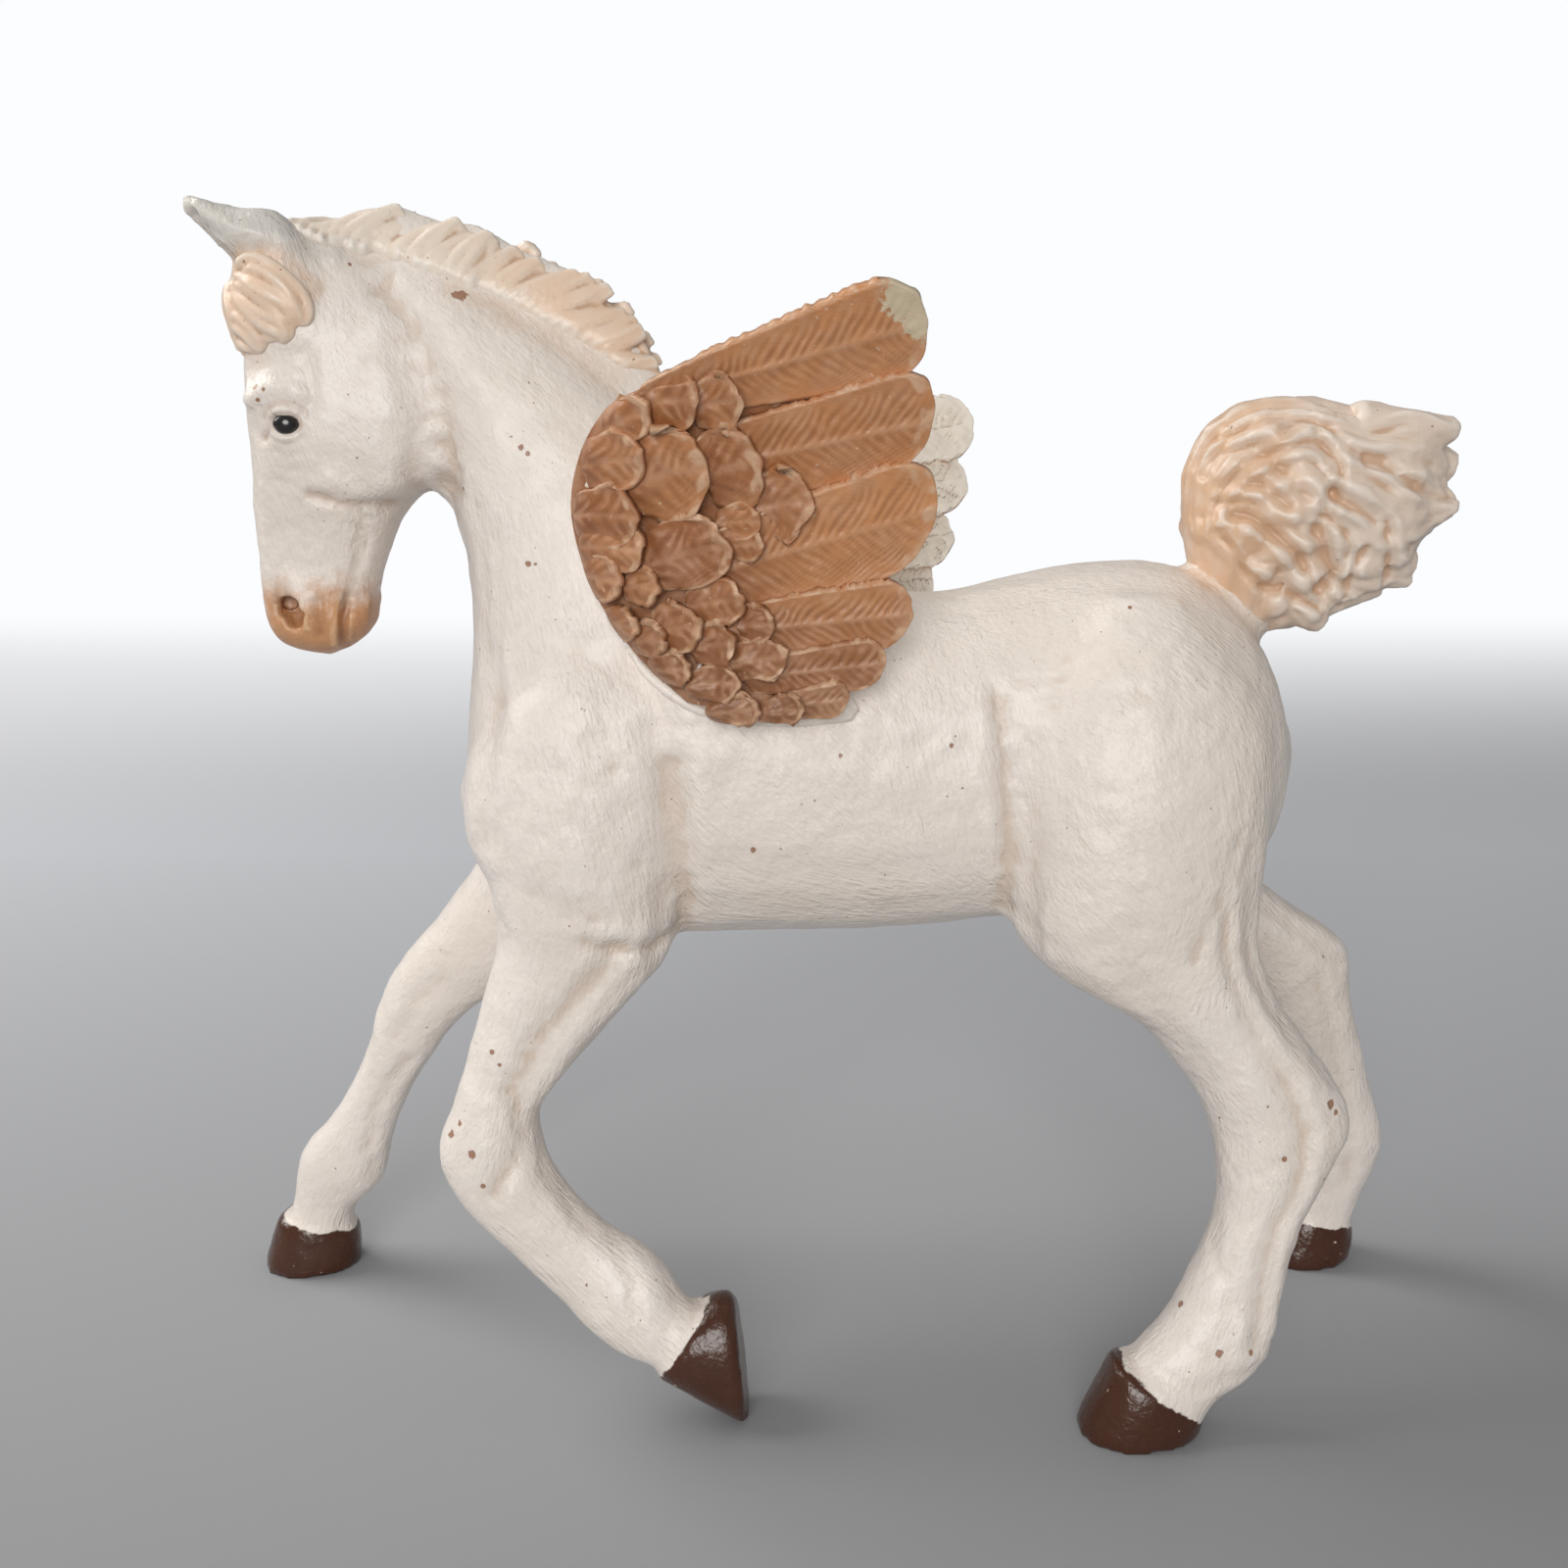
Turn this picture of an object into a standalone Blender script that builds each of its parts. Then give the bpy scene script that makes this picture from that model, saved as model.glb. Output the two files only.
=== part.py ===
"""A moulded and painted winged foal in a trot, in three pieces: the foal and two wings on pegs.

The foal faces -X, its left side is -Y, and it stands on its hooves at Z = 0.
Sizes are in millimetres here, and the meshes are built in metres.
"""

import math

import bmesh
import bpy
import numpy as np
from mathutils import Matrix, Vector

MM = 0.001

# The figurine from its muzzle's side to its tail's end, and from the ground to its ear tips
FIGURE_LENGTH = 100.0
FIGURE_HEIGHT = 89.9

# Half widths of the body's masses
TRUNK_HALF = 11.8
NECK_HALF = 10.4
HEAD_HALF = 6.0
HIND_LEG_HALF = 5.6
FORE_LEG_HALF = 5.4
TAIL_HALF = 5.4
MANE_HALF = 2.1
EAR_HALF = 2.3

# How far each limb stands from the middle, at its top and at its hoof
LEFT_HIND_TOP, LEFT_HIND_FOOT = -6.5, -14.0
RIGHT_HIND_TOP, RIGHT_HIND_FOOT = 6.5, 12.3
LEFT_FORE_TOP, LEFT_FORE_FOOT = -6.0, -12.0
RIGHT_FORE_TOP, RIGHT_FORE_FOOT = 6.0, 11.0
HOOF_HALF = 3.4
EAR_ROOT_SIDE, EAR_TIP_SIDE = 3.6, 5.0

# Head details
EYE_RADIUS = 0.95
EYE_PLACE = (-35.3, 73.8)
EYE_SIDE = 5.25
EYELID_RADIUS = 0.36
NOSTRIL_SIDE = 3.5
NOSTRIL_RADIUS = 1.15
NOSTRIL_DEPTH = 1.1
MOUTH_DEPTH = 0.55

# Hair
HAIR_RELIEF = 0.55
TAIL_LOCKS = 17
MANE_CREASES = 10

# Wings
WING_THICK = 1.7
FLIGHT_THICK = 1.15
COVERT_THICK = 1.0
COVERT_LIFT = 0.55
WING_ROOT_SIDE = 10.3
WING_CAMBER = 3.5
WING_FLARE = 0.009
WING_FOOT_HEIGHT = 54.0
RIGHT_WING_SET_BACK = 3.0

# The joint of each wing and the foal
SEAT_GAP = 0.35
PEG_DIAMETER = 3.6
PEG_CLEARANCE = 0.35
PEG_INNER_SIDE = 5.4
PEG_PLACE = (-5.5, 59.3)
SADDLE_RADII = (7.5, 3.2, 3.8)
SADDLE_PLACE = (-5.0, 58.0)

# How finely the pieces are cut into faces, and how often their skin is softened
MASS_VOXEL = 0.6
MASS_SOFTENING = 12
DETAIL_VOXEL = 0.32
DETAIL_SOFTENING = 2
WING_VOXEL = 0.22
WING_SOFTENING = 1
BODY_TRIANGLES = 8600
WING_TRIANGLES = 1650

# Places are drawn on a figurine 100 long and 89.9 high, and placed() fits them to its real size.
# Ribs of a mass: front x, front z, back x, back z, share of its half width
TRUNK = [
    (-23.8, 49.0, -24.2, 44.3, 0.40),
    (-23.2, 52.0, -23.2, 41.4, 0.74),
    (-21.2, 55.1, -21.0, 38.2, 0.90),
    (-17.5, 58.8, -17.2, 35.9, 0.98),
    (-11.8, 64.0, -12.5, 34.9, 1.00),
    (-5.9, 66.5, -7.0, 35.3, 1.00),
    (0.0, 64.2, 0.0, 35.5, 1.00),
    (5.9, 62.0, 6.2, 35.6, 0.99),
    (11.9, 61.6, 12.1, 36.1, 0.97),
    (17.1, 62.8, 17.1, 36.7, 0.96),
    (21.5, 63.7, 21.8, 37.2, 0.98),
    (25.9, 64.0, 27.2, 37.6, 1.00),
    (29.8, 63.5, 31.8, 38.3, 0.96),
    (33.1, 61.2, 34.9, 40.1, 0.86),
    (36.1, 57.4, 37.0, 43.0, 0.64),
    (37.6, 53.2, 37.7, 46.4, 0.40),
]
NECK = [
    (-32.4, 86.9, -27.8, 71.3, 0.46),
    (-28.3, 86.2, -25.6, 68.6, 0.50),
    (-24.3, 85.1, -24.3, 66.6, 0.54),
    (-20.1, 83.0, -23.4, 61.8, 0.60),
    (-15.8, 80.4, -23.6, 55.1, 0.70),
    (-11.6, 76.6, -24.3, 49.7, 0.82),
    (-6.6, 72.0, -23.1, 42.7, 0.95),
    (0.0, 65.5, -13.9, 38.7, 1.00),
]
HEAD = [
    (-36.6, 86.4, -30.2, 86.6, 0.62),
    (-37.9, 85.0, -29.4, 85.0, 0.77),
    (-39.3, 82.6, -28.0, 81.4, 0.90),
    (-39.4, 79.5, -27.1, 78.4, 0.97),
    (-39.5, 76.6, -26.2, 74.8, 1.00),
    (-39.5, 73.8, -25.7, 71.6, 1.00),
    (-39.4, 70.9, -27.0, 69.1, 0.90),
    (-39.6, 68.4, -28.6, 67.3, 0.78),
    (-39.6, 65.9, -29.4, 65.5, 0.68),
    (-39.5, 63.3, -30.2, 63.3, 0.63),
    (-39.4, 61.1, -30.8, 61.2, 0.65),
    (-39.2, 59.2, -31.0, 59.2, 0.65),
    (-38.1, 57.7, -32.1, 57.9, 0.53),
    (-36.0, 57.0, -33.4, 57.1, 0.30),
]
LEFT_HIND = [
    (21.5, 60.5, 30.0, 60.5, 0.55),
    (18.3, 56.0, 33.6, 56.2, 0.90),
    (16.8, 50.6, 35.4, 51.4, 1.08),
    (16.5, 45.6, 35.4, 46.0, 1.13),
    (16.4, 40.6, 35.0, 41.6, 1.10),
    (17.2, 36.8, 34.8, 38.8, 1.00),
    (20.9, 33.6, 34.8, 36.1, 0.90),
    (25.8, 31.1, 36.5, 32.3, 0.80),
    (29.1, 27.4, 38.9, 29.2, 0.70),
    (31.0, 24.5, 41.1, 26.1, 0.63),
    (31.8, 22.0, 42.1, 23.4, 0.58),
    (32.1, 19.5, 40.8, 20.7, 0.56),
    (32.1, 17.3, 38.9, 16.8, 0.53),
    (31.4, 15.0, 37.9, 14.2, 0.49),
    (29.9, 11.7, 37.1, 10.1, 0.48),
    (28.2, 8.5, 36.1, 5.3, 0.53),
    (26.2, 6.4, 32.5, 2.7, 0.53),
    (24.9, 5.0, 31.2, 1.0, 0.55),
]
RIGHT_HIND = [
    (22.0, 60.5, 31.0, 60.5, 0.55),
    (19.0, 56.0, 33.8, 56.0, 0.90),
    (18.4, 50.0, 35.8, 50.0, 1.08),
    (19.6, 43.0, 36.2, 43.2, 1.13),
    (23.5, 37.4, 38.9, 37.9, 1.02),
    (29.1, 33.8, 42.4, 34.9, 0.87),
    (33.5, 30.7, 45.4, 33.0, 0.75),
    (37.5, 27.9, 47.6, 31.4, 0.64),
    (40.0, 25.5, 48.7, 29.8, 0.56),
    (41.8, 23.1, 49.0, 26.3, 0.53),
    (43.5, 19.8, 50.5, 21.6, 0.47),
    (45.0, 15.9, 51.8, 17.3, 0.46),
    (46.0, 12.0, 53.4, 12.2, 0.51),
    (46.4, 8.5, 52.6, 8.5, 0.48),
    (46.1, 5.4, 51.6, 5.1, 0.48),
    (45.6, 3.4, 51.2, 2.6, 0.52),
]
LEFT_FORE = [
    (-15.0, 60.5, -9.6, 58.0, 0.50),
    (-18.6, 56.8, -8.4, 54.6, 0.82),
    (-21.3, 52.0, -7.9, 50.4, 0.95),
    (-22.8, 45.8, -8.0, 44.3, 1.00),
    (-21.8, 40.7, -7.9, 38.8, 0.95),
    (-21.3, 37.4, -8.4, 35.6, 0.80),
    (-21.5, 35.6, -10.4, 33.0, 0.69),
    (-22.5, 32.3, -13.0, 30.2, 0.62),
    (-23.7, 28.1, -15.8, 27.0, 0.56),
    (-24.9, 24.0, -18.2, 24.2, 0.55),
    (-26.1, 21.0, -18.3, 22.2, 0.58),
    (-25.2, 17.6, -17.3, 19.2, 0.56),
    (-22.7, 14.6, -15.5, 16.8, 0.49),
    (-19.4, 11.3, -13.0, 14.6, 0.46),
    (-16.8, 8.9, -10.7, 13.5, 0.48),
    (-14.9, 6.9, -8.4, 11.3, 0.55),
    (-12.3, 5.0, -7.4, 9.1, 0.51),
    (-9.2, 4.2, -5.2, 8.6, 0.52),
]
RIGHT_FORE = [
    (-15.0, 60.5, -9.6, 58.0, 0.50),
    (-18.6, 56.8, -8.4, 54.6, 0.82),
    (-20.6, 52.0, -8.0, 50.4, 0.95),
    (-23.2, 47.0, -11.0, 42.0, 0.92),
    (-25.0, 39.8, -15.5, 35.2, 0.80),
    (-27.0, 36.6, -20.2, 30.4, 0.69),
    (-29.7, 33.1, -23.3, 27.6, 0.62),
    (-32.4, 30.1, -26.0, 25.7, 0.56),
    (-34.6, 26.4, -28.5, 23.5, 0.55),
    (-35.7, 22.7, -30.4, 20.7, 0.49),
    (-37.4, 18.9, -32.3, 17.8, 0.44),
    (-39.8, 14.9, -34.1, 13.9, 0.44),
    (-42.7, 11.7, -35.0, 10.7, 0.51),
    (-43.6, 8.7, -35.9, 8.0, 0.49),
    (-44.0, 6.4, -38.6, 5.8, 0.46),
    (-44.8, 3.6, -38.9, 2.9, 0.50),
]
TAIL = [
    (30.8, 63.0, 36.0, 57.7, 0.55),
    (30.1, 66.6, 37.0, 58.8, 0.72),
    (30.1, 70.4, 38.1, 58.8, 0.84),
    (31.6, 73.4, 39.3, 59.1, 0.92),
    (34.6, 75.3, 40.7, 59.7, 0.98),
    (38.5, 75.5, 42.7, 60.5, 1.00),
    (42.5, 74.6, 44.7, 61.4, 0.96),
    (45.8, 74.5, 46.0, 62.9, 0.84),
    (47.5, 73.4, 47.4, 64.8, 0.60),
]
MANE = [
    (-33.0, 88.2, -33.4, 86.3, 0.70),
    (-30.3, 88.7, -30.6, 85.3, 0.90),
    (-27.7, 89.6, -27.8, 84.3, 1.00),
    (-24.9, 88.5, -25.0, 83.2, 1.00),
    (-22.1, 88.2, -22.4, 82.0, 1.00),
    (-19.0, 86.5, -20.0, 80.6, 1.00),
    (-15.6, 85.3, -17.8, 79.0, 1.00),
    (-13.0, 83.0, -15.7, 77.2, 1.00),
    (-10.8, 80.6, -13.6, 75.1, 1.00),
    (-8.5, 77.2, -11.0, 72.7, 1.00),
    (-6.0, 73.8, -8.5, 70.0, 0.90),
]
EAR = [
    (-33.4, 86.8, -36.9, 83.7, 1.00),
    (-35.5, 88.5, -38.8, 85.1, 0.95),
    (-37.6, 88.6, -39.7, 86.0, 0.80),
    (-39.4, 88.9, -40.7, 87.2, 0.60),
    (-40.8, 89.3, -41.5, 88.3, 0.38),
    (-41.6, 89.4, -42.0, 88.8, 0.16),
]

# Hoof ribs from the coronet down to the ground, where the soles are cut flat
LEFT_HIND_HOOF = [
    (24.5, 6.2, 31.5, 1.7, 0.88),
    (23.1, 3.1, 31.4, 0.8, 0.97),
    (22.0, 0.3, 31.2, 0.0, 1.00),
    (21.9, -0.6, 31.1, -0.9, 1.00),
]
RIGHT_HIND_HOOF = [
    (45.0, 4.6, 51.8, 3.3, 0.88),
    (44.2, 2.2, 51.8, 1.7, 0.96),
    (43.3, 0.3, 51.6, 0.2, 1.00),
    (43.1, -0.6, 51.5, -0.6, 1.00),
]
RIGHT_FORE_HOOF = [
    (-45.4, 4.9, -38.4, 3.6, 0.90),
    (-46.3, 2.4, -38.3, 1.8, 0.98),
    (-46.9, 0.3, -38.5, 0.2, 1.00),
    (-46.9, -0.6, -38.6, -0.6, 1.00),
]
LEFT_FORE_HOOF = [
    (-9.8, 3.6, -5.7, 9.6, 0.88),
    (-6.6, 1.7, -4.9, 9.9, 0.97),
    (-3.3, -0.2, -4.2, 10.0, 1.00),
    (-2.6, -0.3, -3.7, 9.8, 0.96),
]

# Locks of hair: points x, side, z and the radius there, on each side of the middle
FORELOCK = [
    [(-36.4, 2.6, 86.2, 1.0), (-37.6, 3.9, 84.5, 1.0), (-35.9, 5.2, 82.6, 1.0), (-33.3, 5.7, 81.2, 0.6)],
    [(-37.6, 2.0, 85.5, 1.0), (-38.5, 3.3, 83.2, 1.1), (-36.8, 4.9, 81.2, 0.9), (-34.6, 5.7, 79.7, 0.5)],
    [(-38.8, 1.0, 85.0, 1.1), (-39.3, 1.9, 82.8, 1.0), (-38.7, 3.4, 80.8, 0.8), (-37.2, 4.8, 79.2, 0.4)],
    [(-35.8, 3.2, 86.3, 0.9), (-36.2, 4.6, 84.6, 1.0), (-34.6, 5.4, 83.4, 0.9), (-33.3, 5.6, 82.6, 0.6)],
]
TAIL_ENDS = [
    [(42.0, -1.5, 73.5, 1.9), (46.0, -1.8, 73.4, 1.5), (49.1, -1.5, 73.4, 0.9)],
    [(43.0, 0.8, 72.0, 2.2), (48.0, 0.8, 71.2, 1.8), (50.2, 0.5, 70.6, 1.4)],
    [(43.0, -1.9, 69.4, 2.2), (47.2, -2.0, 68.4, 1.7), (49.4, -1.8, 67.7, 1.1)],
    [(41.0, 1.6, 67.8, 2.4), (45.5, 1.6, 67.2, 1.7), (48.6, 1.2, 68.2, 1.0)],
    [(41.0, -1.2, 64.6, 2.2), (44.4, -1.4, 63.9, 1.9), (46.9, -1.2, 63.1, 1.3)],
    [(40.5, 1.8, 63.2, 2.0), (43.4, 1.6, 62.0, 1.5), (45.0, 1.4, 61.4, 0.9)],
    [(37.4, -2.2, 62.2, 2.0), (39.0, -2.4, 60.4, 1.5), (40.2, -2.0, 59.2, 0.9)],
    [(36.6, 2.0, 61.6, 1.9), (37.8, 2.2, 59.8, 1.4), (38.4, 2.0, 58.7, 0.9)],
]

# Rows of the wing's plate: leading edge x, z and trailing edge x, z, from the foot up
PLATE = [
    (-6.7, 55.0, 0.4, 54.0),
    (-10.1, 58.1, 2.0, 56.3),
    (-12.6, 61.5, 3.3, 59.7),
    (-14.0, 64.8, 3.9, 63.7),
    (-14.5, 68.4, 4.5, 67.6),
    (-13.5, 72.0, 5.1, 71.4),
    (-11.5, 74.7, 5.0, 74.6),
    (-9.0, 76.0, 4.2, 77.0),
    (-6.4, 76.6, 2.8, 78.4),
]
# Feathers: root x, z, tip x, z and width, in the order in which they overlap
LEFT_FLIGHT = [
    (-0.7, 54.8, 4.2, 55.2, 2.4),
    (-2.7, 56.3, 6.9, 57.5, 3.6),
    (-4.0, 60.4, 8.8, 61.5, 4.7),
    (-5.1, 70.1, 7.9, 71.7, 4.2),
    (-3.9, 65.0, 10.0, 68.9, 5.7),
    (-6.3, 72.4, 9.4, 74.9, 5.0),
    (-8.0, 73.4, 8.7, 80.5, 5.2),
]
RIGHT_FLIGHT = [
    (-0.7, 54.8, 4.2, 55.2, 2.4),
    (-2.7, 56.3, 6.9, 57.8, 3.6),
    (-4.0, 60.0, 9.8, 61.4, 4.7),
    (-4.0, 63.0, 11.9, 65.0, 4.7),
    (-4.4, 67.0, 12.8, 69.6, 5.0),
    (-6.3, 71.4, 13.0, 74.0, 5.2),
    (-8.0, 74.0, 7.0, 80.0, 5.4),
]
COVERTS = [
    (-2.0, 54.4, 1.3, 54.8, 1.8),
    (-5.4, 54.4, -1.8, 54.8, 1.9),
    (-3.7, 57.7, 0.1, 58.5, 2.8),
    (-3.2, 60.4, -0.7, 60.6, 2.3),
    (-4.2, 65.8, -1.4, 66.0, 2.2),
    (-1.9, 68.2, 1.7, 68.7, 4.4),
    (-6.3, 58.9, -3.4, 59.3, 2.8),
    (-6.8, 56.3, -3.1, 56.6, 2.3),
    (-6.6, 61.6, -2.8, 62.4, 2.8),
    (-4.5, 67.3, -1.6, 67.5, 2.2),
    (-5.2, 70.1, -1.5, 71.4, 5.2),
    (-5.9, 74.5, -2.6, 75.1, 3.2),
    (-9.0, 60.0, -5.7, 60.4, 3.4),
    (-9.4, 57.2, -6.4, 57.5, 2.2),
    (-9.5, 64.3, -3.7, 66.0, 4.8),
    (-10.3, 69.5, -4.9, 71.1, 5.6),
    (-9.7, 74.7, -5.4, 75.1, 3.6),
    (-10.4, 59.2, -8.2, 59.5, 2.3),
    (-10.9, 62.9, -8.5, 63.0, 2.3),
    (-12.7, 60.3, -10.0, 60.3, 2.3),
    (-14.0, 63.6, -11.1, 63.3, 3.0),
    (-14.0, 65.6, -9.3, 65.5, 3.2),
    (-14.3, 67.7, -9.7, 67.6, 3.8),
    (-13.4, 71.0, -9.2, 71.4, 3.7),
    (-11.8, 73.2, -8.7, 74.4, 2.8),
]
INNER_COVERTS = [
    (-7.0, 60.5, 1.5, 61.0, 5.0),
    (-9.0, 65.0, 1.0, 66.0, 5.6),
    (-9.5, 70.0, 0.5, 71.0, 5.6),
    (-8.0, 74.5, 0.0, 75.6, 4.6),
    (-12.5, 63.0, -5.0, 63.2, 4.6),
    (-13.4, 68.0, -6.0, 68.6, 5.2),
    (-12.0, 72.6, -5.5, 73.4, 4.6),
]


def clear_scene():
    for obj in list(bpy.data.objects):
        bpy.data.objects.remove(obj)


def collection_named(name):
    collection = bpy.data.collections.new(name)
    bpy.context.scene.collection.children.link(collection)
    return collection


def painted(name, colour, roughness):
    material = bpy.data.materials.new(name)
    material.use_nodes = True
    shader = material.node_tree.nodes["Principled BSDF"]
    shader.inputs["Base Color"].default_value = (*colour, 1.0)
    shader.inputs["Roughness"].default_value = roughness
    shader.inputs["Metallic"].default_value = 0.0
    return material


def placed(x, z):
    """Where a drawn place lies on a figurine of this length and height."""
    return x * FIGURE_LENGTH / 100.0, z * FIGURE_HEIGHT / 89.9


def smooth_rows(rows, steps):
    """Rows of numbers with smooth in-between rows, by a Catmull-Rom spline."""
    padded = [rows[0], *rows, rows[-1]]
    result = []
    for a, b, c, d in zip(padded, padded[1:], padded[2:], padded[3:]):
        for step in range(steps):
            t = step / steps
            row = []
            for p, q, r, s in zip(a, b, c, d):
                second = 2 * p - 5 * q + 4 * r - s
                third = 3 * q - p - 3 * r + s
                row.append(q + 0.5 * ((r - p) * t + second * t**2 + third * t**3))
            result.append(tuple(row))
    return [*result, rows[-1]]


def signed_power(value, power):
    return math.copysign(abs(value) ** power, value)


def add_loft(bm, ribs, half_width, side_top=0.0, side_foot=0.0, *, sides=20, steps=3, square=2.3,
             narrow=0.0, relief=None, domed=True):
    """Adds a closed mass whose sections follow the ribs: ovals that stand across the XZ plane."""
    last = len(ribs) - 1
    rows = [(*rib, side_top + (side_foot - side_top) * place / last) for place, rib in enumerate(ribs)]
    rows = smooth_rows(rows, steps)
    if domed:
        rows = [domed_row(rows[1], rows[0]), *rows, domed_row(rows[-2], rows[-1])]
    rings = []
    for place, (front_x, front_z, back_x, back_z, share, side) in enumerate(rows):
        front_x, front_z = placed(front_x, front_z)
        back_x, back_z = placed(back_x, back_z)
        middle = Vector(((front_x + back_x) / 2, side, (front_z + back_z) / 2))
        reach = Vector(((front_x - back_x) / 2, 0.0, (front_z - back_z) / 2))
        ring = []
        for corner in range(sides):
            angle = 2 * math.pi * corner / sides
            along = signed_power(math.cos(angle), 2 / square)
            across = signed_power(math.sin(angle), 2 / square)
            wide = half_width * share * (1 - narrow * along)
            offset = reach * along + Vector((0, wide * across, 0))
            if relief:
                offset += offset.normalized() * relief(place / (len(rows) - 1), angle)
            ring.append(bm.verts.new((middle + offset) * MM))
        rings.append(ring)
    for ring, following in zip(rings, rings[1:]):
        for corner in range(sides):
            after = (corner + 1) % sides
            bm.faces.new((ring[corner], ring[after], following[after], following[corner]))
    bm.faces.new(rings[0][::-1])
    bm.faces.new(rings[-1])


def domed_row(before, last):
    """One more, smaller section past the last one, so that a mass ends round."""
    middle = [(last[i] + last[i + 2]) / 2 for i in range(2)]
    travel = [middle[i] - (before[i] + before[i + 2]) / 2 for i in range(2)]
    length = math.hypot(*travel) or 1.0
    size = math.hypot(last[0] - last[2], last[1] - last[3]) / 2
    bulge = 0.35 * min(size, 5.0)
    shrink = 0.6
    result = []
    for end in (0, 2):
        for i in range(2):
            centre = middle[i] + travel[i] / length * bulge
            result.append(centre + (last[end + i] - middle[i]) * shrink)
    return (*result, last[4] * shrink, last[5])


def add_ball(bm, centre, radii, detail=16):
    x, z = placed(centre[0], centre[2])
    stretch = Matrix.Diagonal((*(radius * MM for radius in radii), 1.0))
    place = Matrix.Translation(Vector((x, centre[1], z)) * MM) @ stretch
    bmesh.ops.create_uvsphere(bm, u_segments=detail, v_segments=detail // 2, radius=1.0, matrix=place)


def add_strand(bm, points, side=1):
    """Adds a lock of hair or a fold of skin: a round curve, thick as the radius at each point says."""
    curve = bpy.data.curves.new("strand", "CURVE")
    curve.dimensions = "3D"
    curve.bevel_depth = MM
    curve.bevel_resolution = 2
    curve.use_fill_caps = True
    spline = curve.splines.new("POLY")
    path = smooth_rows(points, 4)
    spline.points.add(len(path) - 1)
    for point, (x, y, z, radius) in zip(spline.points, path):
        x, z = placed(x, z)
        point.co = (x * MM, side * y * MM, z * MM, 1.0)
        point.radius = radius
    holder = bpy.data.objects.new("strand", curve)
    bpy.context.scene.collection.objects.link(holder)
    graph = bpy.context.evaluated_depsgraph_get()
    mesh = bpy.data.meshes.new_from_object(holder.evaluated_get(graph))
    bm.from_mesh(mesh)
    bpy.data.objects.remove(holder)
    bpy.data.curves.remove(curve)
    bpy.data.meshes.remove(mesh)


def object_from(bm, name, collection):
    """Makes an object of the mesh, with its doubles welded and its faces turned out."""
    bmesh.ops.remove_doubles(bm, verts=bm.verts, dist=0.00001)
    bmesh.ops.recalc_face_normals(bm, faces=bm.faces)
    mesh = bpy.data.meshes.new(name)
    bm.to_mesh(mesh)
    bm.free()
    obj = bpy.data.objects.new(name, mesh)
    collection.objects.link(obj)
    return obj


def apply_modifiers(obj):
    graph = bpy.context.evaluated_depsgraph_get()
    mesh = bpy.data.meshes.new_from_object(obj.evaluated_get(graph))
    obj.modifiers.clear()
    old = obj.data
    obj.data = mesh
    bpy.data.meshes.remove(old)


def fuse(obj, voxel, smoothing):
    """Fuses the closed masses in the object into one skin, and softens where they meet."""
    remesh = obj.modifiers.new("fuse", "REMESH")
    remesh.mode = "VOXEL"
    remesh.voxel_size = voxel * MM
    soften = obj.modifiers.new("soften", "SMOOTH")
    soften.factor = 0.5
    soften.iterations = round(smoothing)
    apply_modifiers(obj)


def thin_out(obj, triangles):
    """Merges faces where the skin is plain, down to the number of triangles."""
    obj.data.calc_loop_triangles()
    decimate = obj.modifiers.new("thin_out", "DECIMATE")
    decimate.ratio = triangles / len(obj.data.loop_triangles)
    decimate.use_collapse_triangulate = True
    apply_modifiers(obj)


def press(obj, path, radius, depth):
    """Presses a groove of this depth into the skin along the path, or raises a ridge if it is negative."""
    mesh = obj.data
    count = len(mesh.vertices)
    points = np.empty(count * 3, np.float32)
    normals = np.empty(count * 3, np.float32)
    mesh.vertices.foreach_get("co", points)
    mesh.vertices.foreach_get("normal", normals)
    points = points.reshape(-1, 3)
    normals = normals.reshape(-1, 3)
    stops = np.array([(placed(x, z)[0], y, placed(x, z)[1]) for x, y, z in path]) * MM
    nearest = np.full(count, np.inf)
    for start, end in zip(stops, stops[1:]):
        run = end - start
        share = np.clip((points - start) @ run / max(run @ run, 1e-12), 0, 1)
        nearest = np.minimum(nearest, np.linalg.norm(points - start - share[:, None] * run, axis=1))
    reach = np.clip(1 - (nearest / (radius * MM)) ** 2, 0, None) ** 2
    points -= normals * (reach * depth * MM)[:, None]
    mesh.vertices.foreach_set("co", points.reshape(-1))
    mesh.update()


def tail_relief(along, angle):
    """Locks of uneven width that wind round the tail as they run to its end."""
    wind = 1.3 * math.sin(2 * angle + 4.0 * along) + 2.2 * math.sin(3.1 * along + angle)
    ridge = abs(math.sin(TAIL_LOCKS * angle / 2 + wind))
    grown = min(1.0, 4 * along) * (0.75 + 0.4 * math.sin(3 * angle + 5.0 * along))
    return HAIR_RELIEF * grown * (1.7 * ridge**0.7 - 1.2)


def mane_relief(along, angle):
    """Upright tufts of uneven width with a crease between each two, leaning back as they rise."""
    upright = math.cos(angle)
    wander = 0.45 * math.sin(9.0 * along) + 0.3 * math.sin(23.0 * along)
    ridge = abs(math.sin(math.pi * (MANE_CREASES * along + wander + 0.45 * upright)))
    depth = 0.75 + 0.4 * math.sin(31.0 * along + 2.0)
    return HAIR_RELIEF * depth * (1.5 * ridge**0.6 - 1.0) * (0.6 + 0.6 * max(0.0, upright))


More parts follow.
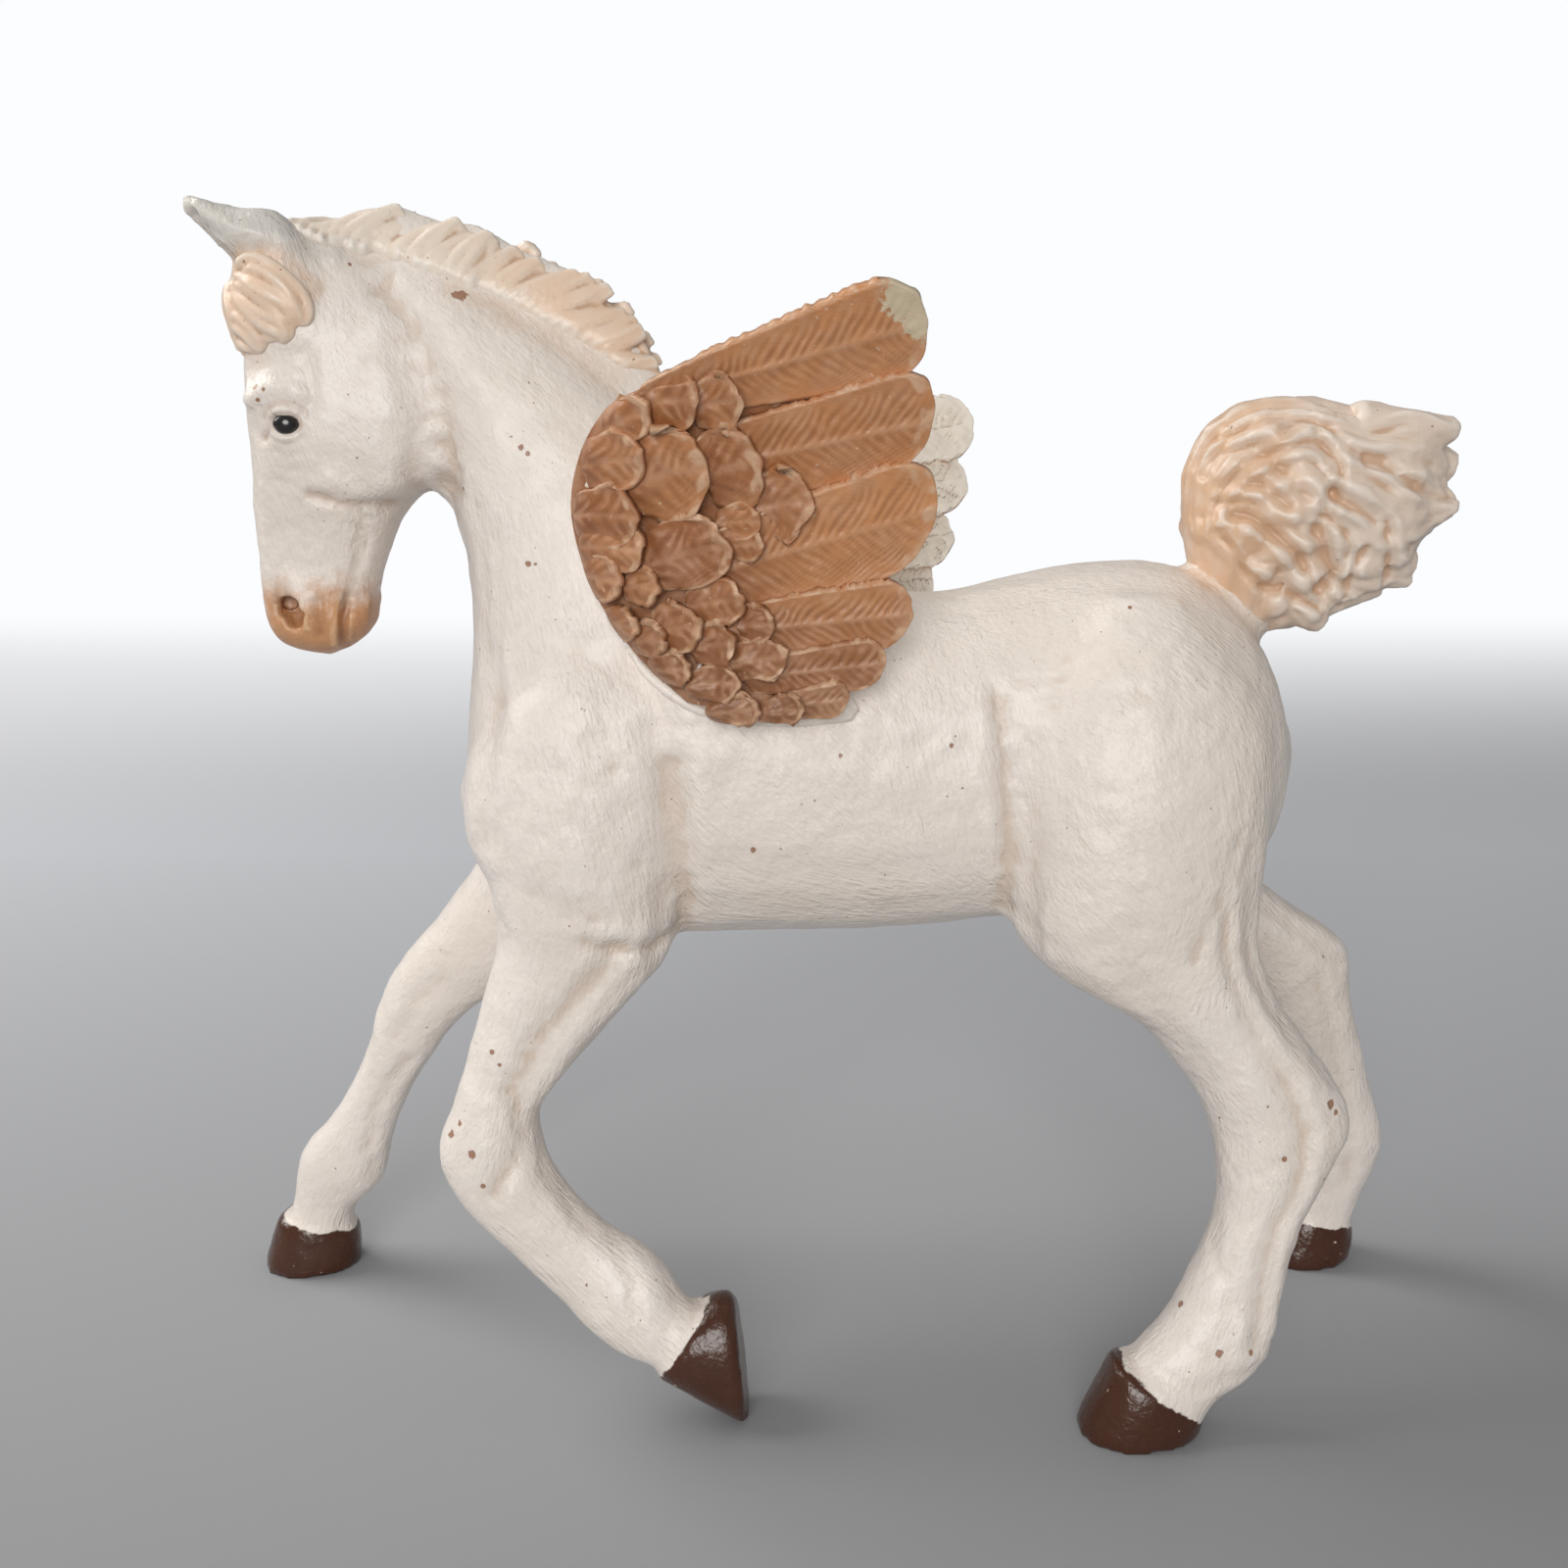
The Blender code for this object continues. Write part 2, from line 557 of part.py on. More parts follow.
def add_masses(bm):
    """The rounded masses of the foal, which melt into each other."""
    add_loft(bm, TRUNK, TRUNK_HALF, narrow=0.08)
    add_loft(bm, NECK, NECK_HALF, square=2.1)
    add_loft(bm, HEAD, HEAD_HALF, square=2.4)
    add_loft(bm, LEFT_HIND, HIND_LEG_HALF, LEFT_HIND_TOP, LEFT_HIND_FOOT)
    add_loft(bm, RIGHT_HIND, HIND_LEG_HALF, RIGHT_HIND_TOP, RIGHT_HIND_FOOT)
    add_loft(bm, LEFT_FORE, FORE_LEG_HALF, LEFT_FORE_TOP, LEFT_FORE_FOOT)
    add_loft(bm, RIGHT_FORE, FORE_LEG_HALF, RIGHT_FORE_TOP, RIGHT_FORE_FOOT)
    for side in (-1, 1):
        cheek = (-29.6, side * 0.62 * HEAD_HALF, 74.4)
        add_ball(bm, cheek, (5.0, 2.5, 5.6))
        brow = (-36.4, side * 0.68 * HEAD_HALF, 75.8)
        add_ball(bm, brow, (2.4, 1.9, 2.2))


def add_details(bm):
    """Hooves, ears, hair and eyes, whose edges stay crisp."""
    hoof = {"sides": 24, "square": 2.2, "narrow": -0.1, "domed": False, "steps": 2}
    add_loft(bm, LEFT_HIND_HOOF, HOOF_HALF, LEFT_HIND_FOOT, LEFT_HIND_FOOT, **hoof)
    add_loft(bm, RIGHT_HIND_HOOF, HOOF_HALF, RIGHT_HIND_FOOT, RIGHT_HIND_FOOT, **hoof)
    add_loft(bm, LEFT_FORE_HOOF, HOOF_HALF, LEFT_FORE_FOOT, LEFT_FORE_FOOT, **hoof)
    add_loft(bm, RIGHT_FORE_HOOF, HOOF_HALF, RIGHT_FORE_FOOT, RIGHT_FORE_FOOT, **hoof)
    add_loft(bm, MANE, MANE_HALF, sides=24, steps=8, narrow=0.45, relief=mane_relief)
    add_loft(bm, TAIL, TAIL_HALF, sides=96, steps=8, square=2.1, relief=tail_relief)
    for points in TAIL_ENDS:
        add_strand(bm, points)
    for side in (-1, 1):
        add_loft(bm, EAR, EAR_HALF, side * EAR_ROOT_SIDE, side * EAR_TIP_SIDE, sides=16, square=2.0)
        for points in FORELOCK:
            add_strand(bm, points, side)
        eye_x, eye_z = EYE_PLACE
        size = EYE_RADIUS
        add_ball(bm, (eye_x, side * EYE_SIDE, eye_z), (size,) * 3)
        for rise in (-1, 1):
            lid = [
                (eye_x - 1.5 * size, EYE_SIDE - 0.1, eye_z - 0.3 * size, 0.2),
                (eye_x - 0.6 * size, EYE_SIDE + 0.55, eye_z + 0.9 * size * rise, EYELID_RADIUS),
                (eye_x + 0.4 * size, EYE_SIDE + 0.65, eye_z + (0.2 + 0.85 * rise) * size, EYELID_RADIUS),
                (eye_x + 1.4 * size, EYE_SIDE + 0.35, eye_z + 0.5 * size, 0.2),
            ]
            add_strand(bm, lid, side)


def press_details(obj):
    """Nostrils, mouth, ear hollows and the creases between the muscles."""
    for side in (-1, 1):
        nostril = [(-37.0, side * NOSTRIL_SIDE, 60.9), (-36.2, side * NOSTRIL_SIDE, 59.8)]
        press(obj, nostril, NOSTRIL_RADIUS, NOSTRIL_DEPTH)
        mouth = [(-32.7, side * 3.6, 61.0), (-33.4, side * 2.6, 58.6), (-33.9, side * 0.6, 57.2)]
        press(obj, mouth, 0.7, MOUTH_DEPTH)
        chin = [(-31.0, side * 3.4, 64.5), (-31.6, side * 3.5, 61.6)]
        press(obj, chin, 0.9, 0.3)
        ear = [(-38.2, side * 6.3, 85.0), (-39.9, side * 6.0, 86.6), (-41.2, side * 5.6, 88.2)]
        press(obj, ear, 0.95, 0.7)
        jaw = [(-27.5, side * 5.4, 80.0), (-26.0, side * 5.0, 75.0), (-26.6, side * 4.6, 70.6)]
        press(obj, jaw, 1.6, 0.5)
        shoulder = [(-8.0, side * 12.0, 50.0), (-7.6, side * 11.8, 42.0), (-8.6, side * 10.5, 35.0)]
        press(obj, shoulder, 2.0, 0.6)
        flank = [(16.6, side * 12.0, 54.0), (16.9, side * 12.2, 46.0), (17.4, side * 11.0, 37.0)]
        press(obj, flank, 2.0, 0.6)
        thigh = [(33.0, side * 11.5, 44.0), (33.5, side * 12.0, 36.0), (37.0, side * 12.5, 28.0)]
        press(obj, thigh, 1.6, 0.35)


def cut_at_ground(obj):
    """Cuts the soles flat, so that the foal stands on them."""
    bm = bmesh.new()
    bm.from_mesh(obj.data)
    geometry = [*bm.verts, *bm.edges, *bm.faces]
    cut = bmesh.ops.bisect_plane(
        bm, geom=geometry, dist=1e-7, plane_co=(0, 0, 0), plane_no=(0, 0, -1), clear_outer=True
    )
    rim = [item for item in cut["geom_cut"] if isinstance(item, bmesh.types.BMEdge)]
    filled = bmesh.ops.holes_fill(bm, edges=rim, sides=0)
    bmesh.ops.triangulate(bm, faces=filled["faces"])
    bm.to_mesh(obj.data)
    bm.free()


def wing_side(x, z):
    """How far the wing's outer face stands from the middle: bulging at the shoulder, flaring at the tips."""
    before = min(x + 4.0, 0.0) / 10.8
    behind = max(x + 4.0, 0.0)
    camber = WING_CAMBER * (1 - before**2) - 0.05 * behind
    rise = max(z - WING_FOOT_HEIGHT, 0.0)
    return WING_ROOT_SIDE + camber + WING_FLARE * rise**2


def thicken(bm, faces, thickness):
    """Closes a sheet of faces into a plate, this thick towards the middle of the foal."""
    made = bmesh.ops.extrude_face_region(bm, geom=faces, use_keep_orig=True)
    moved = [item for item in made["geom"] if isinstance(item, bmesh.types.BMVert)]
    bmesh.ops.translate(bm, verts=moved, vec=(0, thickness * MM, 0))


def add_plate(bm):
    """The wing's plate, which the feathers lie on."""
    rows = smooth_rows(PLATE, 3)
    columns = 16
    grid = bmesh.ops.create_grid(bm, x_segments=columns, y_segments=len(rows) - 1, size=1.0)
    for vert in grid["verts"]:
        across = (vert.co.x + 1) / 2
        row = rows[round((vert.co.y + 1) / 2 * (len(rows) - 1))]
        x = row[0] + (row[2] - row[0]) * across
        z = row[1] + (row[3] - row[1]) * across
        stand = wing_side(x, z)
        x, z = placed(x, z)
        vert.co = (x * MM, -stand * MM, z * MM)
    thicken(bm, list({face for vert in grid["verts"] for face in vert.link_faces}), WING_THICK)


def add_feather(bm, feather, lift, thickness, *, tilt=0.0, wedge=0.0, dome=0.15):
    """One feather: a narrow root, a round tip and a domed face, standing off the wing by lift."""
    root_x, root_z, tip_x, tip_z, width = feather
    length = math.hypot(tip_x - root_x, tip_z - root_z)
    along_x, along_z = (tip_x - root_x) / length, (tip_z - root_z) / length
    grid = bmesh.ops.create_grid(bm, x_segments=10, y_segments=6, size=1.0)
    for vert in grid["verts"]:
        along = (vert.co.x + 1) / 2
        across = vert.co.y
        rounding = math.sqrt(max(0.0, 1 - max(0.0, (along - 0.7) / 0.3) ** 2.4))
        half = width / 2 * (1 - 0.5 * (1 - along) ** 3) * max(rounding, 0.12)
        bow = 0.06 * width * math.sin(math.pi * along)
        x = root_x + along_x * length * along - along_z * (half * across + bow)
        z = root_z + along_z * length * along + along_x * (half * across + bow)
        stand = wing_side(x, z) + lift + wedge * along + dome * (1 - across**2) + tilt * across
        x, z = placed(x, z)
        vert.co = (x * MM, -stand * MM, z * MM)
    thicken(bm, list({face for vert in grid["verts"] for face in vert.link_faces}), thickness)


def make_wing(flight, name, collection):
    """A wing on the foal's left, before it is fitted."""
    bm = bmesh.new()
    add_plate(bm)
    for feather in flight:
        middle = (WING_THICK - FLIGHT_THICK) / 2
        add_feather(bm, feather, -middle, FLIGHT_THICK, tilt=0.28, dome=0.2)
    for feather in COVERTS:
        add_feather(bm, feather, 0.0, COVERT_THICK, wedge=COVERT_LIFT)
    for feather in INNER_COVERTS:
        add_feather(bm, feather, COVERT_THICK - WING_THICK, COVERT_THICK, wedge=-0.4, dome=-0.1)
    saddle = (SADDLE_PLACE[0], -WING_ROOT_SIDE, SADDLE_PLACE[1])
    add_ball(bm, saddle, SADDLE_RADII, detail=24)
    wing = object_from(bm, name, collection)
    fuse(wing, WING_VOXEL, WING_SOFTENING)
    thin_out(wing, WING_TRIANGLES)
    return wing


def turn_over(wing, set_back):
    """Makes the wing the other hand, further back on its side of the foal."""
    mesh = wing.data
    mesh.transform(Matrix.Translation((set_back * MM, 0, 0)) @ Matrix.Scale(-1, 4, (0, 1, 0)))
    mesh.flip_normals()


def cylinder(name, collection, place, diameter, inner, outer):
    """A round pin or hole across the foal, between two distances from its middle."""
    x, z = place
    bm = bmesh.new()
    centre = Matrix.Translation(Vector((x, (inner + outer) / 2, z)) * MM)
    bmesh.ops.create_cone(
        bm, cap_ends=True, segments=32, radius1=diameter / 2 * MM, radius2=diameter / 2 * MM,
        depth=abs(outer - inner) * MM, matrix=centre @ Matrix.Rotation(math.pi / 2, 4, "X")
    )
    obj = object_from(bm, name, collection)
    hide_helper(obj)
    return obj


def hide_helper(obj):
    obj.hide_render = True
    obj.display_type = "WIRE"


def boolean(obj, other, operation):
    modifier = obj.modifiers.new(other.name, "BOOLEAN")
    modifier.operation = operation
    modifier.object = other
    modifier.solver = "EXACT"
    apply_modifiers(obj)


def swollen(body, cutters):
    """The foal grown by the seat's gap, which cuts the seat of each wing."""
    copy = bpy.data.objects.new("wing_seat", body.data.copy())
    cutters.objects.link(copy)
    grow = copy.modifiers.new("grow", "DISPLACE")
    grow.strength = SEAT_GAP * MM
    grow.mid_level = 0.0
    apply_modifiers(copy)
    hide_helper(copy)
    return copy


def fit_wing(body, wing, seat, side, place, cutters):
    """Cuts the wing's seat and the foal's socket, and gives the wing its peg."""
    boolean(wing, seat, "DIFFERENCE")
    inner = side * PEG_INNER_SIDE
    wing_middle = side * (WING_ROOT_SIDE + 0.6)
    peg = cylinder(wing.name + "_peg", cutters, place, PEG_DIAMETER, inner, wing_middle)
    boolean(wing, peg, "UNION")
    socket_size = PEG_DIAMETER + 2 * PEG_CLEARANCE
    bottom = inner - side * PEG_CLEARANCE
    socket = cylinder(wing.name + "_socket", cutters, place, socket_size, bottom, side * 3 * WING_ROOT_SIDE)
    boolean(body, socket, "DIFFERENCE")


def make_body(collection):
    bm = bmesh.new()
    add_masses(bm)
    masses = object_from(bm, "foal_body", collection)
    fuse(masses, MASS_VOXEL, MASS_SOFTENING)
    bm = bmesh.new()
    bm.from_mesh(masses.data)
    bpy.data.objects.remove(masses)
    add_details(bm)
    body = object_from(bm, "foal_body", collection)
    fuse(body, DETAIL_VOXEL, DETAIL_SOFTENING)
    press_details(body)
    thin_out(body, BODY_TRIANGLES)
    cut_at_ground(body)
    return body


def centre_on_box(objects):
    """Moves the pieces so that the middle of their box, at the ground, is the origin."""
    corners = [vert.co for obj in objects for vert in obj.data.vertices]
    middle = [-(min(c[i] for c in corners) + max(c[i] for c in corners)) / 2 for i in range(2)]
    for obj in objects:
        obj.data.transform(Matrix.Translation((*middle, 0.0)))
    return middle


def finish(obj, material):
    obj.data.materials.clear()
    obj.data.materials.append(material)
    obj.data.shade_smooth()
    obj.data.set_sharp_from_angle(angle=math.radians(40))


def main():
    clear_scene()
    parts = collection_named("winged_foal")
    cutters = collection_named("cutters")
    body = make_body(parts)
    left = make_wing(LEFT_FLIGHT, "wing_left", parts)
    right = make_wing(RIGHT_FLIGHT, "wing_right", parts)
    turn_over(right, RIGHT_WING_SET_BACK)
    seat = swollen(body, cutters)
    peg_x, peg_z = placed(*PEG_PLACE)
    fit_wing(body, left, seat, -1, (peg_x, peg_z), cutters)
    fit_wing(body, right, seat, 1, (peg_x + RIGHT_WING_SET_BACK, peg_z), cutters)
    moved = centre_on_box([body, left, right])
    pearl = painted("pearl_white_paint", (0.70, 0.63, 0.57), 0.38)
    brown = painted("feather_brown_paint", (0.35, 0.16, 0.08), 0.5)
    finish(body, pearl)
    finish(left, brown)
    finish(right, brown.copy())
    for obj in (body, left, right):
        obj.data.calc_loop_triangles()
        print(obj.name, "has", len(obj.data.loop_triangles), "triangles")
    print("moved to the origin by", [round(value / MM, 2) for value in moved], "mm")


main()
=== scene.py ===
# %% [markdown]
# # A winged foal
#
# This notebook finishes a small moulded figurine: a foal in a trot, with feathered wings.
# The CAD frame already has its true shape and size. Here its skin and tail are carved, its
# mane is laid tuft by tuft, its wings are covered feather by feather, and all is painted.

# %% Load the CAD frame
import math

import bpy
import numpy as np
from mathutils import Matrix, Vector, noise
from mathutils.bvhtree import BVHTree
from mathutils.kdtree import KDTree


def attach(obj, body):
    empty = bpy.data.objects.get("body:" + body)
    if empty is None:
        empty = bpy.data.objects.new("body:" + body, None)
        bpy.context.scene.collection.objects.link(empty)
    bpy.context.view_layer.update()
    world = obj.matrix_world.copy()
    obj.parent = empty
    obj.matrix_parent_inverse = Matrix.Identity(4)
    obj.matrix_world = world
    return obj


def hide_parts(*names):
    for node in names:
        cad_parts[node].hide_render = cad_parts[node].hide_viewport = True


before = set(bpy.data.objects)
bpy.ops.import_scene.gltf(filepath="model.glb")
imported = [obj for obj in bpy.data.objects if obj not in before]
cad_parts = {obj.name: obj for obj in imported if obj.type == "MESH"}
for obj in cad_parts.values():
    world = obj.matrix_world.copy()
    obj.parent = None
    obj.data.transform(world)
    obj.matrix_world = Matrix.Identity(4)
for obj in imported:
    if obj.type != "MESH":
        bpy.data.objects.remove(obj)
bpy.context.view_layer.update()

# %% [markdown]
# ## Two ways to measure
#
# The foal was drawn in millimetres around its withers, and the CAD then moved it so that
# the middle of its box is the origin. Carving is easier in the drawing's millimetres, so
# one helper turns a drawn place into the frame's metres, and one turns it back.

# %% Drawn places
MM = 0.001
MOVED = np.array([-3.16, 0.02, 0.0])
WITHERS = (-5.9, 0, 66.5)


def place(x, y, z):
    return tuple((np.array([x, y, z]) + MOVED) * MM)


def drawn(points):
    return points / MM - MOVED


print("The withers are at", place(*WITHERS))

# %% [markdown]
# ## The camera
#
# The figurine was photographed from close by, a little above its back. The camera stands
# square to its side, 12 cm away, and looks down by 12 degrees. A lens as long as the sensor
# is wide gives the strong perspective of such a near view.

# %% Set up the camera
CAMERA_AWAY, CAMERA_HEIGHT, CAMERA_DIP = 119.5, 72.0, 12
CAMERA_LENS = CAMERA_SENSOR = 36
tilt = (math.radians(90 - CAMERA_DIP), 0, 0)
bpy.ops.object.camera_add(location=place(0, -CAMERA_AWAY, CAMERA_HEIGHT), rotation=tilt)
camera = bpy.context.object
camera.data.lens = CAMERA_LENS
camera.data.sensor_width = CAMERA_SENSOR
camera.data.clip_start = 5 * MM
bpy.context.scene.camera = camera
print("Camera at", tuple(round(value, 4) for value in camera.location))

# %% [markdown]
# ## Working on one piece at a time
#
# An operator acts on everything that is selected, so each step first selects one piece.
# Carving moves the points of a mesh by hand, so a few helpers read and write them. All
# points go in and out as one array, which is fast enough for a mesh of this size.

# %% Helpers for picking and for points


def pick(*pieces):
    """Selects these pieces and nothing else."""
    if bpy.context.object and bpy.context.object.mode != "OBJECT":
        bpy.ops.object.mode_set(mode="OBJECT")
    bpy.ops.object.select_all(action="DESELECT")
    for piece in pieces:
        piece.select_set(True)
    if pieces:
        bpy.context.view_layer.objects.active = pieces[0]


def apply_all(piece):
    pick(piece)
    for modifier in list(piece.modifiers):
        bpy.ops.object.modifier_apply(modifier=modifier.name)


def triples(source, key):
    """Three numbers for each point or face, as an array."""
    found = np.empty(len(source) * 3, np.float32)
    source.foreach_get(key, found)
    return found.reshape(-1, 3).astype(float)


def points_of(piece):
    return triples(piece.data.vertices, "co")


def normals_of(piece):
    return triples(piece.data.vertex_normals, "vector")


def edges_of(piece):
    found = np.empty(len(piece.data.edges) * 2, np.int32)
    piece.data.edges.foreach_get("vertices", found)
    return found.reshape(-1, 2)


def set_points(piece, points):
    piece.data.vertices.foreach_set("co", points.astype(np.float32).reshape(-1))
    piece.data.update()


def store(piece, name, values):
    """Keeps one number for each point on the mesh, for the paint to read."""
    layer = piece.data.attributes.get(name) or piece.data.attributes.new(name, "FLOAT", "POINT")
    layer.data.foreach_set("value", np.asarray(values, np.float32))


def size_of(piece):
    piece.data.calc_loop_triangles()
    return f"{piece.name}: {len(piece.data.loop_triangles)} triangles"


print("Helpers are ready, and", len(bpy.context.selected_objects), "objects are picked")


# %% [markdown]
# Softening moves each point towards the middle of its neighbours. Doing it alternately
# inwards and a little more outwards takes the facets off without shrinking the shape.

# %% Softening a skin
SOFTEN_IN, SOFTEN_OUT = 0.5, 0.52


def average(values, edges):
    """The middle of each point's neighbours."""
    count = len(values)
    total = np.zeros_like(values)
    for near, far in ((0, 1), (1, 0)):
        for axis in range(values.shape[1]):
            total[:, axis] += np.bincount(edges[:, near], values[edges[:, far], axis], minlength=count)
    shared = np.maximum(np.bincount(edges.reshape(-1), minlength=count), 1)
    return total / shared[:, None]


def soften(points, edges, times, share=1.0, keep_size=True):
    points = points.copy()
    share = np.broadcast_to(share, len(points))[:, None]
    for _ in range(times):
        points += SOFTEN_IN * share * (average(points, edges) - points)
        if keep_size:
            points -= SOFTEN_OUT * share * (average(points, edges) - points)
    return points


print("Softening moves a point", SOFTEN_IN, "of the way in and", SOFTEN_OUT, "out")

# %% [markdown]
# A voxel remesh lays an even net of small squares over a shape, which carves well because
# no square is long or thin. Random lumps come from a noise that depends on the place
# alone, so they're the same each time.

# %% An even net, and roughness


def even_net(piece, size):
    net = piece.modifiers.new("even_net", "REMESH")
    net.mode = "VOXEL"
    net.voxel_size = size
    apply_all(piece)


def rough(spots, size):
    """Soft random lumps between about -1 and 1, this far across."""
    return np.array([noise.noise(Vector(spot) / size) for spot in spots])


print("A lump at the withers is", round(float(rough([place(*WITHERS)], MM)[0]), 2), "high")


# %% [markdown]
# ## The foal's skin
#
# The foal is one solid moulding. Its CAD mesh is loose triangles, so a copy is merged
# first. The tail is cut away with a plane, because it gets a finer net of its own, and the
# skin's even net can then be carved like clay.

# %% Copy the CAD body and cut off its tail


def cad_copy(node, name):
    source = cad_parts[node]
    made = bpy.data.objects.new(name, source.data.copy())
    bpy.context.scene.collection.objects.link(made)
    made.data.materials.clear()
    pick(made)
    bpy.ops.object.mode_set(mode="EDIT")
    bpy.ops.mesh.select_all(action="SELECT")
    bpy.ops.mesh.remove_doubles(threshold=0.000005)
    bpy.ops.object.mode_set(mode="OBJECT")
    return made


def keep_one_side(piece, centre, direction):
    """Bisects the piece with a plane, drops the side that the direction points to and closes it."""
    pick(piece)
    bpy.ops.object.mode_set(mode="EDIT")
    bpy.ops.mesh.select_all(action="SELECT")
    bpy.ops.mesh.bisect(plane_co=centre, plane_no=direction, use_fill=True, clear_outer=True, threshold=1e-7)
    bpy.ops.object.mode_set(mode="OBJECT")


TAIL_CUT = place(33.7, 0, 61.9)
CORE_CUT = place(33.3, 0, 61.2)
TAIL_WAY = (0.58, 0.0, 0.81)
skin = cad_copy("foal_body", "foal_skin")
tail = cad_copy("foal_body", "tail_hair")
tail.data.name = tail.name
keep_one_side(skin, TAIL_CUT, TAIL_WAY)
keep_one_side(tail, CORE_CUT, tuple(-value for value in TAIL_WAY))
print(size_of(skin), "and", size_of(tail))

# %% [markdown]
# An ear's tip is so thin that a remesh would eat it. A tapered cord laid inside each ear
# keeps its blunt end. It is swept along a curve, because a curve's radius can change from
# point to point, and the hair will be swept in the same way.

# %% Fill out the ears
EAR = [
    (-41.85, 4.75, 88.75, 0.50), (-40.8, 4.7, 88.25, 0.80), (-39.2, 4.6, 87.55, 1.20),
    (-37.4, 4.5, 87.0, 1.50), (-35.6, 4.2, 86.4, 1.75),
]


def cords(name, strands):
    """Sweeps strands of x, y, z and radius, in drawn millimetres, into one mesh."""
    curve = bpy.data.curves.new(name, "CURVE")
    curve.dimensions = "3D"
    curve.bevel_depth = MM
    curve.bevel_resolution = 2
    curve.use_fill_caps = True
    for strand in strands:
        spline = curve.splines.new("POLY")
        spline.points.add(len(strand) - 1)
        for point, (x, y, z, radius) in zip(spline.points, strand):
            point.co = (*place(x, y, z), 1.0)
            point.radius = radius
    made = bpy.data.objects.new(name, curve)
    bpy.context.scene.collection.objects.link(made)
    pick(made)
    bpy.ops.object.convert(target="MESH")
    return bpy.context.object


ear_cords = cords("ear_cords", [[(x, side * y, z, radius) for x, y, z, radius in EAR] for side in (-1, 1)])
pick(skin, ear_cords)
bpy.ops.object.join()
print(size_of(skin), "with its ears")

# %% [markdown]
# The net follows the CAD's facets, so the whole skin is softened. Where the mane and the
# forelock will lie, the CAD's coarse hair is rubbed flat, and the fine hair takes its place.

# %% Remesh and soften the skin
SKIN_VOXEL = 0.455 * MM
CREST_X = [-34, -28, -20, -12, -7, -3]
CREST_Z = [85.6, 85.4, 82.0, 75.8, 70.6, 68.0]
even_net(skin, SKIN_VOXEL)
smooth = soften(points_of(skin), edges_of(skin), 14)
x, y, z = drawn(smooth).T
hair_base = (np.abs(y) < 2.8) & (x > -33.5) & (x < -3.0) & (z > np.interp(x, CREST_X, CREST_Z))
forehead = (x < -32.5) & (z > 78.6) & (z < 86.0)
share = np.where(hair_base, 1.0, np.where(forehead, 0.7, 0.0))
smooth = soften(smooth, edges_of(skin), 25, share, keep_size=False)
set_points(skin, smooth)
print(size_of(skin))

# %% [markdown]
# The face has the finest carving, so its squares are divided once more. They are picked in
# code, by their place, and divided in edit mode.

# %% Divide the face
pick(skin)
x, y, z = drawn(triples(skin.data.polygons, "center")).T
face = (x < -30.2) & (z > 55.0) & (z < 80.0)
ear_tips = (z > 83.5) & (x < -34.0)
bpy.ops.object.mode_set(mode="EDIT")
bpy.ops.mesh.select_mode(type="FACE")
bpy.ops.mesh.select_all(action="DESELECT")
bpy.ops.object.mode_set(mode="OBJECT")
skin.data.polygons.foreach_set("select", face | ear_tips)
bpy.ops.object.mode_set(mode="EDIT")
bpy.ops.mesh.subdivide(number_cuts=1, smoothness=0.0)
bpy.ops.object.mode_set(mode="OBJECT")
x, y, z = drawn(points_of(skin)).T
fine = ((x < -30.0) & (z > 55.0)).astype(float)
set_points(skin, soften(points_of(skin), edges_of(skin), 4, fine))
print(size_of(skin))

# %% [markdown]
# ## Carving
#
# The real figurine was modelled in clay, and its muscles, creases and veins are soft
# strokes. A stroke here is a line drawn on the foal's side, in millimetres ahead and up.
# Points near it move in along their own normal, or out where the depth is negative. It
# works only where the skin faces the chisel, on one side of the foal or on both.

# %% The carving tool
NEAR, FAR = (-1,), (1,)
STRAY = 0.45
points = points_of(skin)
normals = normals_of(skin)
# Marks for the brown wash and painted shade that darken the carved creases
wash_and_shade = np.zeros(len(points))
blush = np.zeros(len(points))
wander = np.abs(rough(points, 1.3 * MM))


def nearness(path, width):
    """1 on the line, falling softly to 0 at this distance from it, with an uneven edge."""
    flat = drawn(points)[:, [0, 2]]
    nearest = np.full(len(flat), 1e9)
    stops = np.array(path, float)
    for start, end in zip(stops, stops[1:]):
        run = end - start
        along = np.clip((flat - start) @ run / max(run @ run, 1e-9), 0, 1)
        nearest = np.minimum(nearest, np.linalg.norm(flat - start - along[:, None] * run, axis=1))
    return np.clip(1 - ((nearest + wander * width * STRAY) / width) ** 2, 0, None) ** 2


def carve(path, width, depth, sides=(-1, 1), facing=None, tint=0.0):
    """Presses the skin in along the line by this depth, and marks it for brown wash and painted shade."""
    global points, wash_and_shade
    near = nearness(path, width)
    for side in sides:
        look = facing or side
        seen = np.clip(normals[:, 1] * look * 2.5, 0, 1) * (drawn(points)[:, 1] * side > 0.3)
        points = points - normals * (near * seen * depth * MM)[:, None]
        wash_and_shade = np.maximum(wash_and_shade, near * seen * tint)


def tint_blush(path, width, amount):
    """Notes where orange paint has strayed on to the skin."""
    global blush
    near = nearness(path, width)
    for side in (-1, 1):
        blush = np.maximum(blush, near * amount * (drawn(points)[:, 1] * side > 0.0))


print("The skin has", len(points), "points to carve")

# %% [markdown]
# First come the broad forms of the muscles, which are wide, shallow strokes. Then come the
# creases between them, and last the tendons and veins of the legs.

